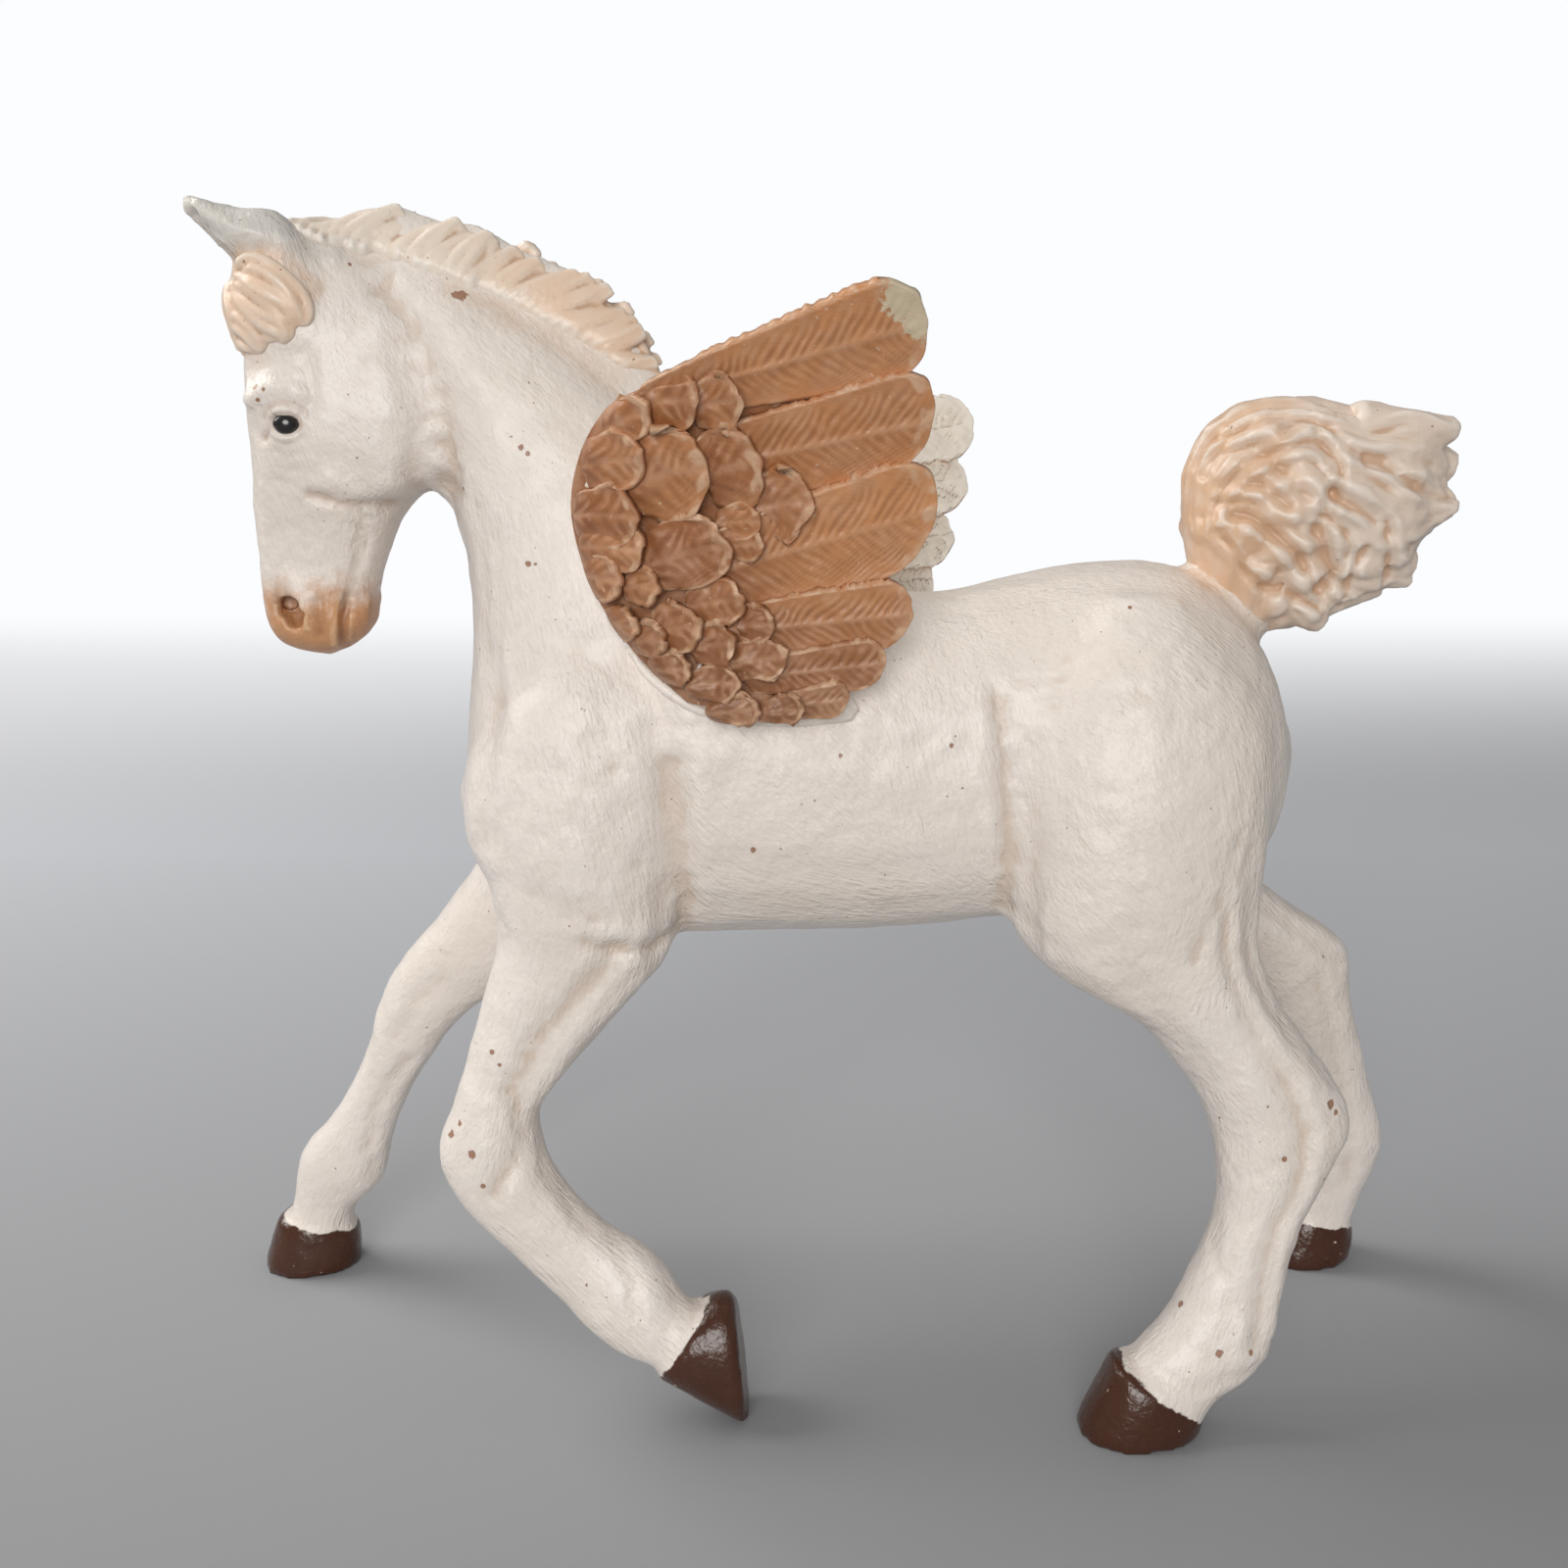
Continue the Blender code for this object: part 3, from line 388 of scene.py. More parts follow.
# %% Carve the body
carve([(-16.5, 56), (-14.5, 50), (-14.0, 44)], 7.8, -0.41)
carve([(24.5, 54), (25.5, 48), (25, 42)], 9.6, -0.38)
carve([(-2, 52), (5, 50), (11, 50)], 7.2, 0.19)
carve([(-9.9, 56.7), (-8.8, 53.9), (-8.4, 49.7), (-8.3, 45.5), (-7.7, 41.9), (-7.5, 38.6)],
      2.88, 0.41, tint=0.04)
carve([(-7.1, 41.6), (-7.2, 39.4), (-7.5, 37.9)], 1.32, 0.41, tint=0.15)
carve([(-14.2, 37.6), (-12.6, 36.9), (-10.6, 36.6), (-8.9, 36.8), (-7.8, 37.4)], 1.08, 0.34, tint=0.14)
carve([(-14.6, 38.6), (-12.6, 38.2), (-10.4, 38.0), (-8.6, 38.4)], 1.56, -0.22)
carve([(-21.0, 44.7), (-19.0, 41.8), (-16.9, 40.3), (-14.1, 39.2)], 2.4, 0.3, tint=0.03)
carve([(15.0, 55.4), (15.4, 51.7), (15.8, 46.7), (16.1, 42.3), (16.0, 39.4)], 1.3, 0.42, tint=0.13)
carve([(14.1, 52.0), (14.5, 46.9), (14.8, 42.5)], 1.6, -0.12)
carve([(14.6, 53.0), (15.0, 48.0)], 2.2, 0.1, tint=0.05)
carve([(14.6, 54.5), (19.0, 55.2), (23.1, 55.5), (27.2, 55.2)], 0.66, 0.12, tint=0.04)
carve([(16.3, 56.1), (20.4, 56.3), (24.5, 55.8)], 0.6, 0.11, tint=0.04)
carve([(15.7, 54.0), (19.8, 54.5), (23.8, 54.7)], 0.6, 0.09, tint=0.03)
carve([(17.0, 39.1), (18.4, 38.0), (20.2, 36.9)], 1.08, 0.19, tint=0.04)
carve([(31.9, 45.4), (31.1, 41.6), (29.8, 39.1), (28.9, 37.0)], 0.96, 0.26, tint=0.06)
carve([(33.0, 44.7), (31.9, 41.0), (31.2, 38.0)], 0.84, 0.22, tint=0.04)
carve([(31.9, 44.0), (30.6, 40.4), (29.8, 37.6)], 0.72, -0.15)
carve([(-20.3, 54.2), (-18.1, 56.3), (-15.2, 58.4)], 2.64, 0.26)
carve([(-21.4, 58.3), (-21.0, 52.8), (-21.4, 49.2), (-21.5, 44.9)], 1.8, 0.26, tint=0.03)
carve([(-19.4, 57.0), (-19.3, 52.8), (-19.9, 48.0)], 1.68, -0.15)
print("Body carved")

# %% [markdown]
# On the neck a long hollow runs from the ear to the chest, and the throat is a deep fold.
# On the head come the cheek, the mouth's corner, the brow and the bones of the nose.

# %% Carve the neck and the head
carve([(-30.2, 86.0), (-26.7, 82.4), (-24.8, 79.9), (-23.3, 76.0), (-22.8, 72.3)], 2.53, 0.24, tint=0.03)
carve([(-28.3, 83.3), (-26.1, 80.1), (-24.9, 76.7), (-24.2, 73.4), (-24.1, 70.6), (-24.5, 69.3)],
      1.9, 0.62, tint=0.12)
carve([(-28.6, 80.0), (-27.2, 76.5), (-26.8, 73.0), (-28.5, 70.6)], 2.99, -0.21)
carve([(-24.2, 72.0), (-24.2, 69.2), (-24.6, 68.0)], 1.72, 0.32, tint=0.28)
carve([(-22.4, 69.3), (-21.5, 66.7), (-21.3, 62.6), (-21.4, 57.0)], 1.03, 0.2, tint=0.04)
carve([(-20.4, 66.7), (-20.2, 62.6), (-20.5, 57.1), (-20.2, 54.3)], 0.92, 0.15, tint=0.03)
carve([(-21.3, 67.0), (-20.9, 62.6), (-21.0, 57.0)], 0.69, -0.1)
carve([(-34.1, 68.9), (-32.4, 68.4), (-31.0, 68.0), (-28.2, 68.1), (-26.4, 68.7)], 0.8, 0.34, tint=0.42)
carve([(-32.6, 69.8), (-30.4, 69.4), (-28.0, 69.6)], 1.2, -0.22)
carve([(-33.4, 78.6), (-33.3, 77.0), (-33.4, 75.0)], 1.26, 0.21, tint=0.09)
carve([(-37.9, 75.6), (-36.3, 76.4), (-35.0, 76.5), (-33.9, 75.9)], 1.03, -0.28)
carve([(-37.6, 77.0), (-36.0, 78.3), (-34.6, 78.2)], 1.38, 0.21)
carve([(-35.4, 70.4), (-35.2, 67.0), (-35.6, 64.0)], 1.84, 0.17)
carve([(-37.4, 72.0), (-37.8, 67.0), (-38.0, 63.5)], 1.38, -0.14)
carve([(-30.6, 67.1), (-31.2, 65.0), (-31.7, 62.8), (-32.0, 60.7)], 0.8, 0.21, tint=0.1)
carve([(-31.7, 67.7), (-30.6, 67.3), (-29.6, 67.1)], 0.4, 0.11, tint=0.1)
carve([(-31.2, 66.8), (-30.6, 66.1), (-30.8, 65.0)], 0.4, 0.11, tint=0.1)
carve([(-33.6, 87.1), (-32.7, 85.5), (-32.1, 83.8)], 1.61, 0.21, tint=0.05)
for line in ([(-36.5, 72.0), (-35.5, 71.6), (-34.7, 71.7)], [(-36.4, 71.1), (-35.7, 70.6), (-35.0, 70.6)],
             [(-36.5, 70.0), (-35.9, 69.7), (-35.3, 69.8)]):
    carve(line, 0.5, 0.07, tint=0.08)
print("Neck and head carved")

# %% [markdown]
# The nostril is a deep comma under a rim, the mouth is a narrow slit, and between them the
# lip has a soft groove. The ear is a hollow cone that opens forwards and outwards.

# %% Carve the muzzle and the ears
carve([(-37.5, 60.6), (-37.0, 61.5), (-36.0, 61.4), (-35.4, 60.4), (-35.3, 59.3)], 0.55, -0.3)
carve([(-37.0, 60.6), (-36.5, 60.6), (-36.2, 60.0)], 1.15, 0.95, tint=0.62)
carve([(-37.4, 61.1), (-36.5, 61.5), (-35.9, 60.9)], 0.4, 0.15, tint=0.9)
carve([(-34.3, 61.2), (-34.1, 59.9), (-34.4, 58.6)], 0.7, 0.25, tint=0.35)
carve([(-32.3, 61.5), (-32.6, 60.3), (-32.8, 58.9), (-33.1, 57.6)], 0.5, 0.42, tint=0.75)
carve([(-33.1, 61.0), (-33.4, 59.4), (-33.7, 58.0)], 0.55, -0.18)
carve([(-31.2, 61.0), (-31.5, 59.4)], 0.8, -0.2)
carve([(-40.9, 88.0), (-39.9, 86.4), (-38.6, 85.0), (-37.9, 84.0)], 0.6, 0.55, tint=0.9)
carve([(-40.9, 89.0), (-39.4, 87.9), (-37.8, 87.0), (-36.0, 86.6)], 0.9, -0.15)
print("Muzzle and ears carved")

# %% [markdown]
# The eye sits in a shallow socket between two lids. The lids are low ridges in an almond
# shape, with a fold above and a bag below, and the brow stands out over them. Each is a
# stroke along part of an oval around the eye.

# %% Carve the eye sockets
EYE = (-35.3, 73.8)


def around_eye(start, end, wide, high):
    turns = [math.radians(start + (end - start) * step / 8) for step in range(9)]
    return [(EYE[0] + wide * math.cos(turn), EYE[1] + high * math.sin(turn)) for turn in turns]


carve([(EYE[0] - 0.5, EYE[1]), (EYE[0] + 0.5, EYE[1])], 1.5, 0.5, tint=0.3)
carve(around_eye(10, 165, 1.35, 1.0), 0.42, -0.22)
carve(around_eye(200, 340, 1.30, 0.9), 0.40, -0.12)
carve(around_eye(25, 160, 1.75, 1.55), 0.36, 0.18, tint=0.35)
carve(around_eye(-20, 200, 1.05, 0.82), 0.30, 0.05, tint=0.9)
carve(around_eye(215, 320, 1.6, 1.45), 0.4, 0.10, tint=0.12)
carve([(EYE[0] - 1.3, EYE[1] - 0.3), (EYE[0] - 1.9, EYE[1] - 1.0)], 0.4, 0.25, tint=0.5)
print("Sockets around", EYE)

# %% [markdown]
# Orange paint from the mane, the forelock and the tail has strayed a little on to the
# skin. It is noted here in the same way as a stroke, without moving any point.

# %% Note the strayed paint
tint_blush([(-38.6, 84.6), (-36.8, 85.6), (-34.8, 84.9), (-33.2, 83.0)], 1.5, 0.8)
tint_blush([(-38.2, 79.6), (-37.4, 78.6)], 1.4, 0.4)
tint_blush([(-23.5, 83.2), (-17.5, 80.6), (-12.5, 77.2)], 1.8, 0.35)
tint_blush([(31.0, 62.8), (33.6, 62.0), (37.0, 59.4)], 1.6, 0.7)
print("Blush on", int((blush > 0.2).sum()), "points")

# %% [markdown]
# The near legs show their tendons and the bones of hock and knee. The far legs are seen
# between them from both sides, so their strokes are carved on both of their faces.

# %% Carve the legs
HOCK = [(30.7, 41.0), (31.4, 38.5), (31.8, 35.6), (33.1, 32.7), (34.5, 29.7), (36.4, 26.8), (37.6, 23.7),
        (37.6, 21.5), (37.0, 18.8), (35.7, 16.5), (35.0, 13.7), (34.9, 10.6), (34.5, 7.8)]
ACHILLES = [(32.4, 40.6), (33.0, 37.4), (34.0, 34.9), (35.7, 32.3), (37.6, 30.1), (39.3, 28.3), (40.3, 26.8)]
carve(HOCK, 1.3, 0.32, sides=NEAR, tint=0.08)
carve([(x + 1.2, z + 0.5) for x, z in HOCK], 1.17, -0.18, sides=NEAR)
carve(ACHILLES, 1.1, 0.24, sides=NEAR, tint=0.06)
carve([(24.8, 34.9), (27.0, 32.7), (28.9, 30.1), (30.6, 27.0)], 1.95, 0.2, sides=NEAR, tint=0.03)
carve([(33.6, 28.0), (34.6, 24.4), (34.2, 20.5)], 3.12, -0.23, sides=NEAR)
carve([(31.7, 18.4), (31.4, 16.1), (32.0, 12.9), (32.8, 10.6)], 0.91, 0.13, sides=NEAR, tint=0.04)
carve([(27.6, 5.6), (29.8, 4.7), (32.7, 5.2), (35.0, 5.8)], 1.04, 0.2, sides=NEAR, tint=0.05)
carve([(33.6, 9.4), (33.4, 6.8)], 1.95, -0.23, sides=NEAR)
FOREARM = [(-12.2, 36.9), (-13.3, 35.1), (-15.4, 32.9), (-17.6, 30.3), (-19.1, 28.0), (-20.0, 26.1)]
carve(FOREARM, 1.7, 0.5, sides=NEAR, tint=0.15)
carve([(x + 1.9, z - 1.2) for x, z in FOREARM], 1.43, -0.2, sides=NEAR)
carve([(-9.2, 36.7), (-11.3, 34.2), (-13.4, 31.9)], 0.91, 0.2, sides=NEAR, tint=0.07)
carve([(-20.7, 41.6), (-20.5, 38.0), (-20.8, 34.3), (-21.2, 30.6)], 1.56, 0.2, sides=NEAR)
carve([(-19.6, 25.0), (-19.4, 22.8), (-19.7, 20.8), (-21.0, 19.3), (-21.4, 18.3)],
      1.04, 0.29, sides=NEAR, tint=0.16)
carve([(-20.4, 27.3), (-20.1, 25.4), (-19.7, 24.3)], 0.78, 0.16, sides=NEAR, tint=0.1)
carve([(-22.6, 25.0), (-22.4, 22.0), (-22.6, 20.2)], 2.47, -0.23, sides=NEAR)
carve([(-18.1, 23.5), (-17.8, 19.7), (-16.5, 17.4), (-14.6, 15.2)], 0.78, 0.23, sides=NEAR, tint=0.1)
carve([(-17.1, 21.2), (-15.7, 18.1), (-13.6, 16.2), (-11.5, 15.0)], 0.78, 0.23, sides=NEAR, tint=0.12)
carve([(-13.0, 14.2), (-11.2, 11.9), (-10.9, 9.5)], 0.91, 0.2, sides=NEAR, tint=0.05)
carve([(-9.2, 13.5), (-8.7, 11.5), (-8.0, 9.9)], 0.78, 0.2, sides=NEAR, tint=0.07)
for look in (-1, 1):
    carve([(-28.5, 29.0), (-31.1, 26.5), (-32.8, 23.5)], 1.3, 0.2, sides=FAR, facing=look, tint=0.05)
    carve([(-32.1, 21.1), (-33.9, 18.9), (-35.4, 16.2), (-36.1, 12.9)],
          1.04, 0.26, sides=FAR, facing=look, tint=0.1)
    carve([(-35.4, 26.0), (-34.2, 23.0), (-34.2, 20.5)], 1.69, -0.2, sides=FAR, facing=look)
    carve([(-36.4, 12.5), (-35.9, 11.1), (-36.5, 9.2)], 1.04, 0.2, sides=FAR, facing=look, tint=0.07)
    carve([(38.2, 36.5), (41.9, 33.6), (45.1, 31.2), (47.1, 29.6)],
          1.17, 0.26, sides=FAR, facing=look, tint=0.07)
    carve([(45.2, 28.0), (46.6, 24.0), (47.9, 19.5), (49.4, 14.0), (49.8, 8.5)],
          1.04, 0.23, sides=FAR, facing=look, tint=0.07)
    carve([(42.5, 27.5), (43.8, 24.8)], 2.21, -0.2, sides=FAR, facing=look)
print("Legs carved")

# %% [markdown]
# A hand-made surface is never quite even, so the skin gets small random lumps, and last
# the carving is softened a touch, as thick paint does. The soles stay flat.

# %% Roughen and soften the carving
LUMP_HEIGHT = 0.075
lumps = rough(points, 2.1 * MM) + 0.5 * rough(points, 0.9 * MM)
away_from_sole = np.clip((points[:, 2] - 0.4 * MM) / MM, 0, 1)
points += normals * (lumps * LUMP_HEIGHT * MM * away_from_sole)[:, None]
points = soften(points, edges_of(skin), 2)
points[:, 2] = np.maximum(points[:, 2], 0.0)
set_points(skin, points)
normals = normals_of(skin)
print("Lumps of up to", round(float(np.abs(lumps).max() * LUMP_HEIGHT), 3), "mm")

# %% [markdown]
# ## Notes for the painter
#
# The paint is darker in hollows, with brown wash and painted shade, and paler on ridges,
# with dry brush and painted highlight. It differs on hooves and on the muzzle, and the fur
# strokes follow the lie of the coat. Each point of the skin keeps these facts as numbers,
# which the material reads as attributes.

# %% Mark hollows and ridges


def hollow_of(piece, times, depth):
    """1 in hollows and -1 on ridges, from how far the point lies off its softened self."""
    spots, net = points_of(piece), edges_of(piece)
    off = soften(spots, net, times, keep_size=False) - spots
    return np.clip(np.einsum("ij,ij->i", off, normals_of(piece)) / (depth * MM), -1, 1)


# Hollows get brown wash and painted shade, and ridges dry brush and painted highlight
store(skin, "hollow", hollow_of(skin, 10, 0.15))
store(skin, "blush", blush)
store(skin, "wash_and_shade", np.clip(soften(wash_and_shade[:, None], edges_of(skin), 2, keep_size=False)[:, 0], 0, 1))
print("Hollows on", round(float((hollow_of(skin, 10, 0.09) > 0.3).mean() * 100)), "% of the skin")

# %% [markdown]
# Each hoof ends at a slanting line. A point keeps how far it lies below that line, so the
# paint can put a slightly wavy edge there. The muzzle and the ears are marked alike.

# %% Mark the hooves, the muzzle and the ears
UNMARKED = -9.0
MUZZLE_TOP, EAR_ROOT = 62.4, 83.0
spots = drawn(points)
flat = spots[:, [0, 2]]


def below(first, second):
    """How far the points lie below a drawn line, in millimetres."""
    run = np.subtract(second, first)
    rest = flat - np.array(first)
    return (run[1] * rest[:, 0] - run[0] * rest[:, 1]) / np.hypot(*run)


near, low = spots[:, 1] < 0, flat[:, 1] < 16
hoof = np.full(len(points), UNMARKED)
for here, first, second in (
    (near & low & (flat[:, 0] > 15), (24.3, 6.4), (31.5, 1.2)),
    (~near & low & (flat[:, 0] > 35), (45.0, 4.6), (51.8, 3.3)),
    (~near & low & (flat[:, 0] < -30), (-45.4, 4.9), (-38.4, 3.6)),
    (near & low & (flat[:, 0] < 5), (-9.8, 3.6), (-5.7, 9.6)),
):
    hoof = np.where(here, below(first, second), hoof)
on_muzzle = (flat[:, 0] < -29.5) & (flat[:, 1] > 50)
up_ear = np.clip((flat[:, 1] - EAR_ROOT - 0.25 * np.abs(spots[:, 1])) / 2.5, 0, 1)
store(skin, "hoof", hoof)
store(skin, "muzzle", np.where(on_muzzle, MUZZLE_TOP - flat[:, 1], UNMARKED))
store(skin, "ear", up_ear * (flat[:, 0] < -31))
print("Hooves hold", int((hoof > 0).sum()), "points")

# %% [markdown]
# The coat was engraved with short strokes that follow the lie of the hair. A few places
# are given the angle of the strokes there, and each point takes an average that favours
# the nearest. Angles are doubled for it, because a stroke looks the same turned half round.

# %% Mark the lie of the coat
COAT = np.array([
    (-30, 75, -60), (-22, 75, -55), (-18, 62, -75), (-20, 50, -80), (-14, 50, -70), (0, 50, -35),
    (5, 38, -15), (13, 50, -80), (22, 60, -25), (28, 50, -60), (25, 42, -50), (34, 48, -75),
    (30, 38, 60), (-17, 30, 69), (-14, 13, -45), (33, 28, -58), (33, 12, 65), (-30, 25, 60),
    (39, 31, -45), (49, 12, -85), (-36, 66, -88), (-38, 76, -80), (34, 60, -45),
], float)
FUR_TURNS = (-75, -45, -15, 15, 45, 75)
FUR_STEP = 30
reach = ((flat[:, None, :] - COAT[None, :, :2]) ** 2).sum(axis=2) + 6.0
pull = 1 / reach**2
turn = np.radians(COAT[:, 2] * 2)
lie = np.degrees(np.arctan2(pull @ np.sin(turn), pull @ np.cos(turn))) / 2
for number, angle in enumerate(FUR_TURNS):
    apart = np.abs((lie - angle + 90) % 180 - 90)
    store(skin, f"fur_{number}", np.clip(1 - apart / FUR_STEP, 0, 1))
print("The coat lies between", round(float(lie.min())), "and", round(float(lie.max())), "degrees")

# %% Shade the skin smooth
pick(skin)
bpy.ops.object.shade_smooth()
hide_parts("foal_body")
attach(skin, "root")
print(size_of(skin))

# %% [markdown]
# ## Eyes
#
# Each eye is a glossy black bead, wider than high and pointed at its corners. It starts as
# a ball, is pressed to shape, and sits where a ray cast from the side meets the skin.

# %% Seat the eyes
EYE_HIGH, EYE_DEEP, EYE_POINTED, EYE_SUNK = 0.86, 0.75, 0.25, 0.28


def tree_of(piece):
    return BVHTree.FromObject(piece, bpy.context.evaluated_depsgraph_get())


def finish_piece(piece):
    pick(piece)
    bpy.ops.object.transform_apply(location=True, rotation=True, scale=True)
    bpy.ops.object.shade_smooth()
    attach(piece, "root")


skin_tree = tree_of(skin)
eyes = []
for name, side in (("eye_left", -1), ("eye_right", 1)):
    spot, normal, _, _ = skin_tree.ray_cast(Vector(place(EYE[0], side * 20, EYE[1])), Vector((0, -side, 0)))
    pick()
    bpy.ops.mesh.primitive_uv_sphere_add(segments=48, ring_count=24, radius=MM)
    eye = bpy.context.object
    eye.name = name
    shape = points_of(eye) / MM
    shape[:, 2] *= EYE_HIGH * (1 - EYE_POINTED * shape[:, 0] ** 2)
    shape[:, 1] *= EYE_DEEP
    set_points(eye, shape * MM + np.array(spot - normal * EYE_SUNK * MM))
    finish_piece(eye)
    eyes.append(eye)
print("Last eye at", [round(value / MM, 1) for value in spot], "mm")

# %% [markdown]
# ## Laying hair
#
# The mane and the forelock are thick tufts and locks of strands, moulded in one with the
# neck. Each strand is a spline with its own thickness along the way. All the strands of a
# piece are swept as round cords, merged by a fine voxel remesh and softened, so that they
# look moulded and not like real hair.

# %% Tools for hair


def flow(path, samples):
    """A smooth line through these points."""
    stops = np.array(path, float)
    ends = np.vstack([2 * stops[0] - stops[1], stops, 2 * stops[-1] - stops[-2]])
    along = np.linspace(0, len(stops) - 1, samples)
    span = np.minimum(along.astype(int), len(stops) - 2)
    part = (along - span).reshape(-1, 1)
    a, b, c, d = ends[span], ends[span + 1], ends[span + 2], ends[span + 3]
    curved = (2 * a - 5 * b + 4 * c - d) * part**2
    return 0.5 * (2 * b + (c - a) * part + curved + (3 * b - a - 3 * c + d) * part**3)


def on_surface(tree, x, z, side, lift):
    """The place on this side of a surface, seen from the side, or the nearest one to it."""
    found = tree.ray_cast(Vector(place(x, side * 30, z)), Vector((0, -side, 0)))
    if found[0] is None:
        found = tree.find_nearest(Vector(place(x, side * 1.2, z)))
        seat = drawn(np.array([found[0]]))[0]
        return x, seat[1] if abs(x - seat[0]) + abs(z - seat[2]) < 0.8 else seat[1] * 0.7, z
    seat = drawn(np.array([found[0] + found[1] * lift * MM]))[0]
    return x, seat[1], z


def lay_hair(name, strands, voxel, times=2):
    """Sweeps, merges and softens strands of x, y, z and radius, all in drawn millimetres."""
    made = cords(name, strands)
    even_net(made, voxel)
    set_points(made, soften(points_of(made), edges_of(made), times))
    store(made, "hollow", hollow_of(made, 8, 0.06))
    finish_piece(made)
    print(size_of(made), "from", len(strands), "strands")
    return made


def near_line(spots, line):
    """The number of the nearest stop on a drawn line for each spot, and its distance."""
    tree = KDTree(len(line))
    for index, (x, z) in enumerate(line):
        tree.insert((x, 0, z), index)
    tree.balance()
    return [tree.find((x, 0, z))[1:] for x, y, z in spots]


print("A line through the eye's corners has", len(flow([(-36, 73), EYE, (-34, 74)], 5)), "places")

# %% [markdown]
# ## The tail
#
# The real tail is a lump of clay that rises, arches over and falls backwards in a fan with
# ragged tips. Grooves were pulled through it, and its hair is no more than a fine ripple.
# So it is carved from the CAD's own tail, which has the right outline, and not laid from
# strands. These strokes are its grooves and, with a negative depth, its locks.

# %% The tail's lines and strokes
TAIL_LINES = [
    [(30.8, 63.7), (29.6, 68.4), (31.2, 73.4), (35.6, 75.8), (41.4, 75.0), (46.5, 74.6), (48.9, 74.1)],
    [(31.0, 63.6), (30.3, 68.4), (32.0, 72.7), (36.3, 74.8), (42.3, 73.4), (47.5, 72.4), (50.3, 71.5)],
    [(31.3, 63.5), (31.1, 67.7), (32.8, 71.4), (36.8, 73.4), (42.1, 71.4), (46.9, 69.8), (50.7, 69.1)],
    [(31.5, 63.4), (31.8, 67.3), (33.8, 70.6), (37.3, 71.6), (41.5, 69.1), (45.7, 66.9), (49.6, 67.3)],
    [(31.8, 63.3), (32.5, 66.6), (34.9, 69.1), (38.0, 69.1), (41.3, 66.9), (44.4, 64.8), (47.6, 63.7)],
    [(32.0, 63.2), (33.1, 65.9), (35.3, 67.5), (38.0, 66.9), (40.7, 64.8), (43.5, 62.5), (46.6, 62.2)],
    [(32.2, 63.1), (33.4, 64.8), (35.4, 65.9), (37.7, 64.8), (39.7, 62.5), (42.1, 60.9), (44.2, 60.9)],
    [(32.5, 63.0), (33.8, 64.0), (35.6, 64.0), (37.5, 62.5), (39.1, 61.1), (40.7, 60.2), (42.0, 59.9)],
    [(32.8, 62.8), (34.0, 63.3), (35.3, 62.8), (36.4, 61.8), (37.5, 60.7), (38.2, 59.4), (38.5, 58.5)],
]
TAIL_CARVING = [
    ([(31.8, 66.2), (32.8, 64.7), (33.9, 63.2), (35.0, 62.3), (36.0, 62.0)], 0.7, 0.4),
    ([(32.6, 67.5), (33.8, 67.2), (35.1, 66.3), (36.3, 65.4), (37.1, 64.7), (37.8, 63.6)], 0.8, 0.5),
    ([(36.4, 62.4), (37.2, 61.7), (38.1, 61.2), (39.4, 60.9)], 0.8, 0.45),
    ([(39.4, 69.0), (39.0, 67.8), (38.7, 66.6), (38.8, 65.4), (39.4, 64.2), (40.0, 63.3), (39.6, 62.3)],
     1.1, 0.7),
    ([(38.2, 73.3), (39.0, 72.4), (39.7, 71.4), (39.9, 70.2), (39.6, 69.0)], 0.6, 0.3),
    ([(39.6, 69.0), (40.7, 68.1), (41.9, 67.5), (42.7, 66.9)], 0.9, 0.4),
    ([(40.5, 66.0), (40.9, 64.8), (40.6, 63.5), (40.3, 63.0)], 0.7, 0.3),
    ([(42.2, 65.0), (41.7, 63.9), (41.5, 62.6), (41.7, 60.9)], 0.7, 0.35),
    ([(41.9, 71.4), (43.5, 70.8), (45.0, 69.9), (46.9, 69.0), (48.8, 68.9)], 0.9, 0.5),
    ([(43.5, 66.9), (43.9, 65.4), (44.3, 63.9), (44.6, 62.2)], 0.8, 0.4),
    ([(30.8, 70.2), (31.2, 71.4), (32.3, 72.8), (33.8, 74.0), (36.0, 74.4), (38.1, 74.4)], 0.6, 0.25),
    ([(31.5, 68.3), (32.7, 68.4), (33.9, 68.3)], 0.6, 0.25),
    ([(34.4, 69.6), (35.2, 69.0), (36.2, 68.1)], 0.7, 0.25),
    ([(33.4, 71.9), (34.7, 71.8), (35.8, 70.9)], 1.2, 0.3),
    ([(31.7, 70.3), (32.7, 70.9), (33.9, 70.8), (35.0, 70.0), (36.1, 69.0), (36.9, 67.8)], 1.3, -0.3),
    ([(32.8, 69.0), (34.3, 68.6), (35.6, 67.7), (36.6, 66.6), (37.8, 65.4)], 1.2, -0.28),
    ([(32.2, 66.9), (33.7, 66.3), (35.3, 65.3), (36.7, 64.2), (37.9, 62.7)], 1.5, -0.45),
    ([(30.7, 66.3), (32.3, 65.4), (33.7, 64.1), (35.0, 63.2)], 1.2, -0.35),
    ([(34.6, 73.5), (36.2, 72.2), (37.5, 70.6), (38.5, 69.2), (38.7, 68.1)], 1.6, -0.4),
    ([(40.0, 71.1), (40.6, 69.6), (41.8, 68.4)], 1.5, -0.3),
    ([(44.3, 65.4), (45.3, 64.2), (45.9, 63.2)], 1.3, -0.3),
    ([(36.2, 60.9), (37.0, 59.7)], 1.2, -0.3),
    ([(38.4, 61.2), (39.3, 60.2)], 1.0, -0.25),
]
print(len(TAIL_CARVING), "strokes and", len(TAIL_LINES), "lines of flow")

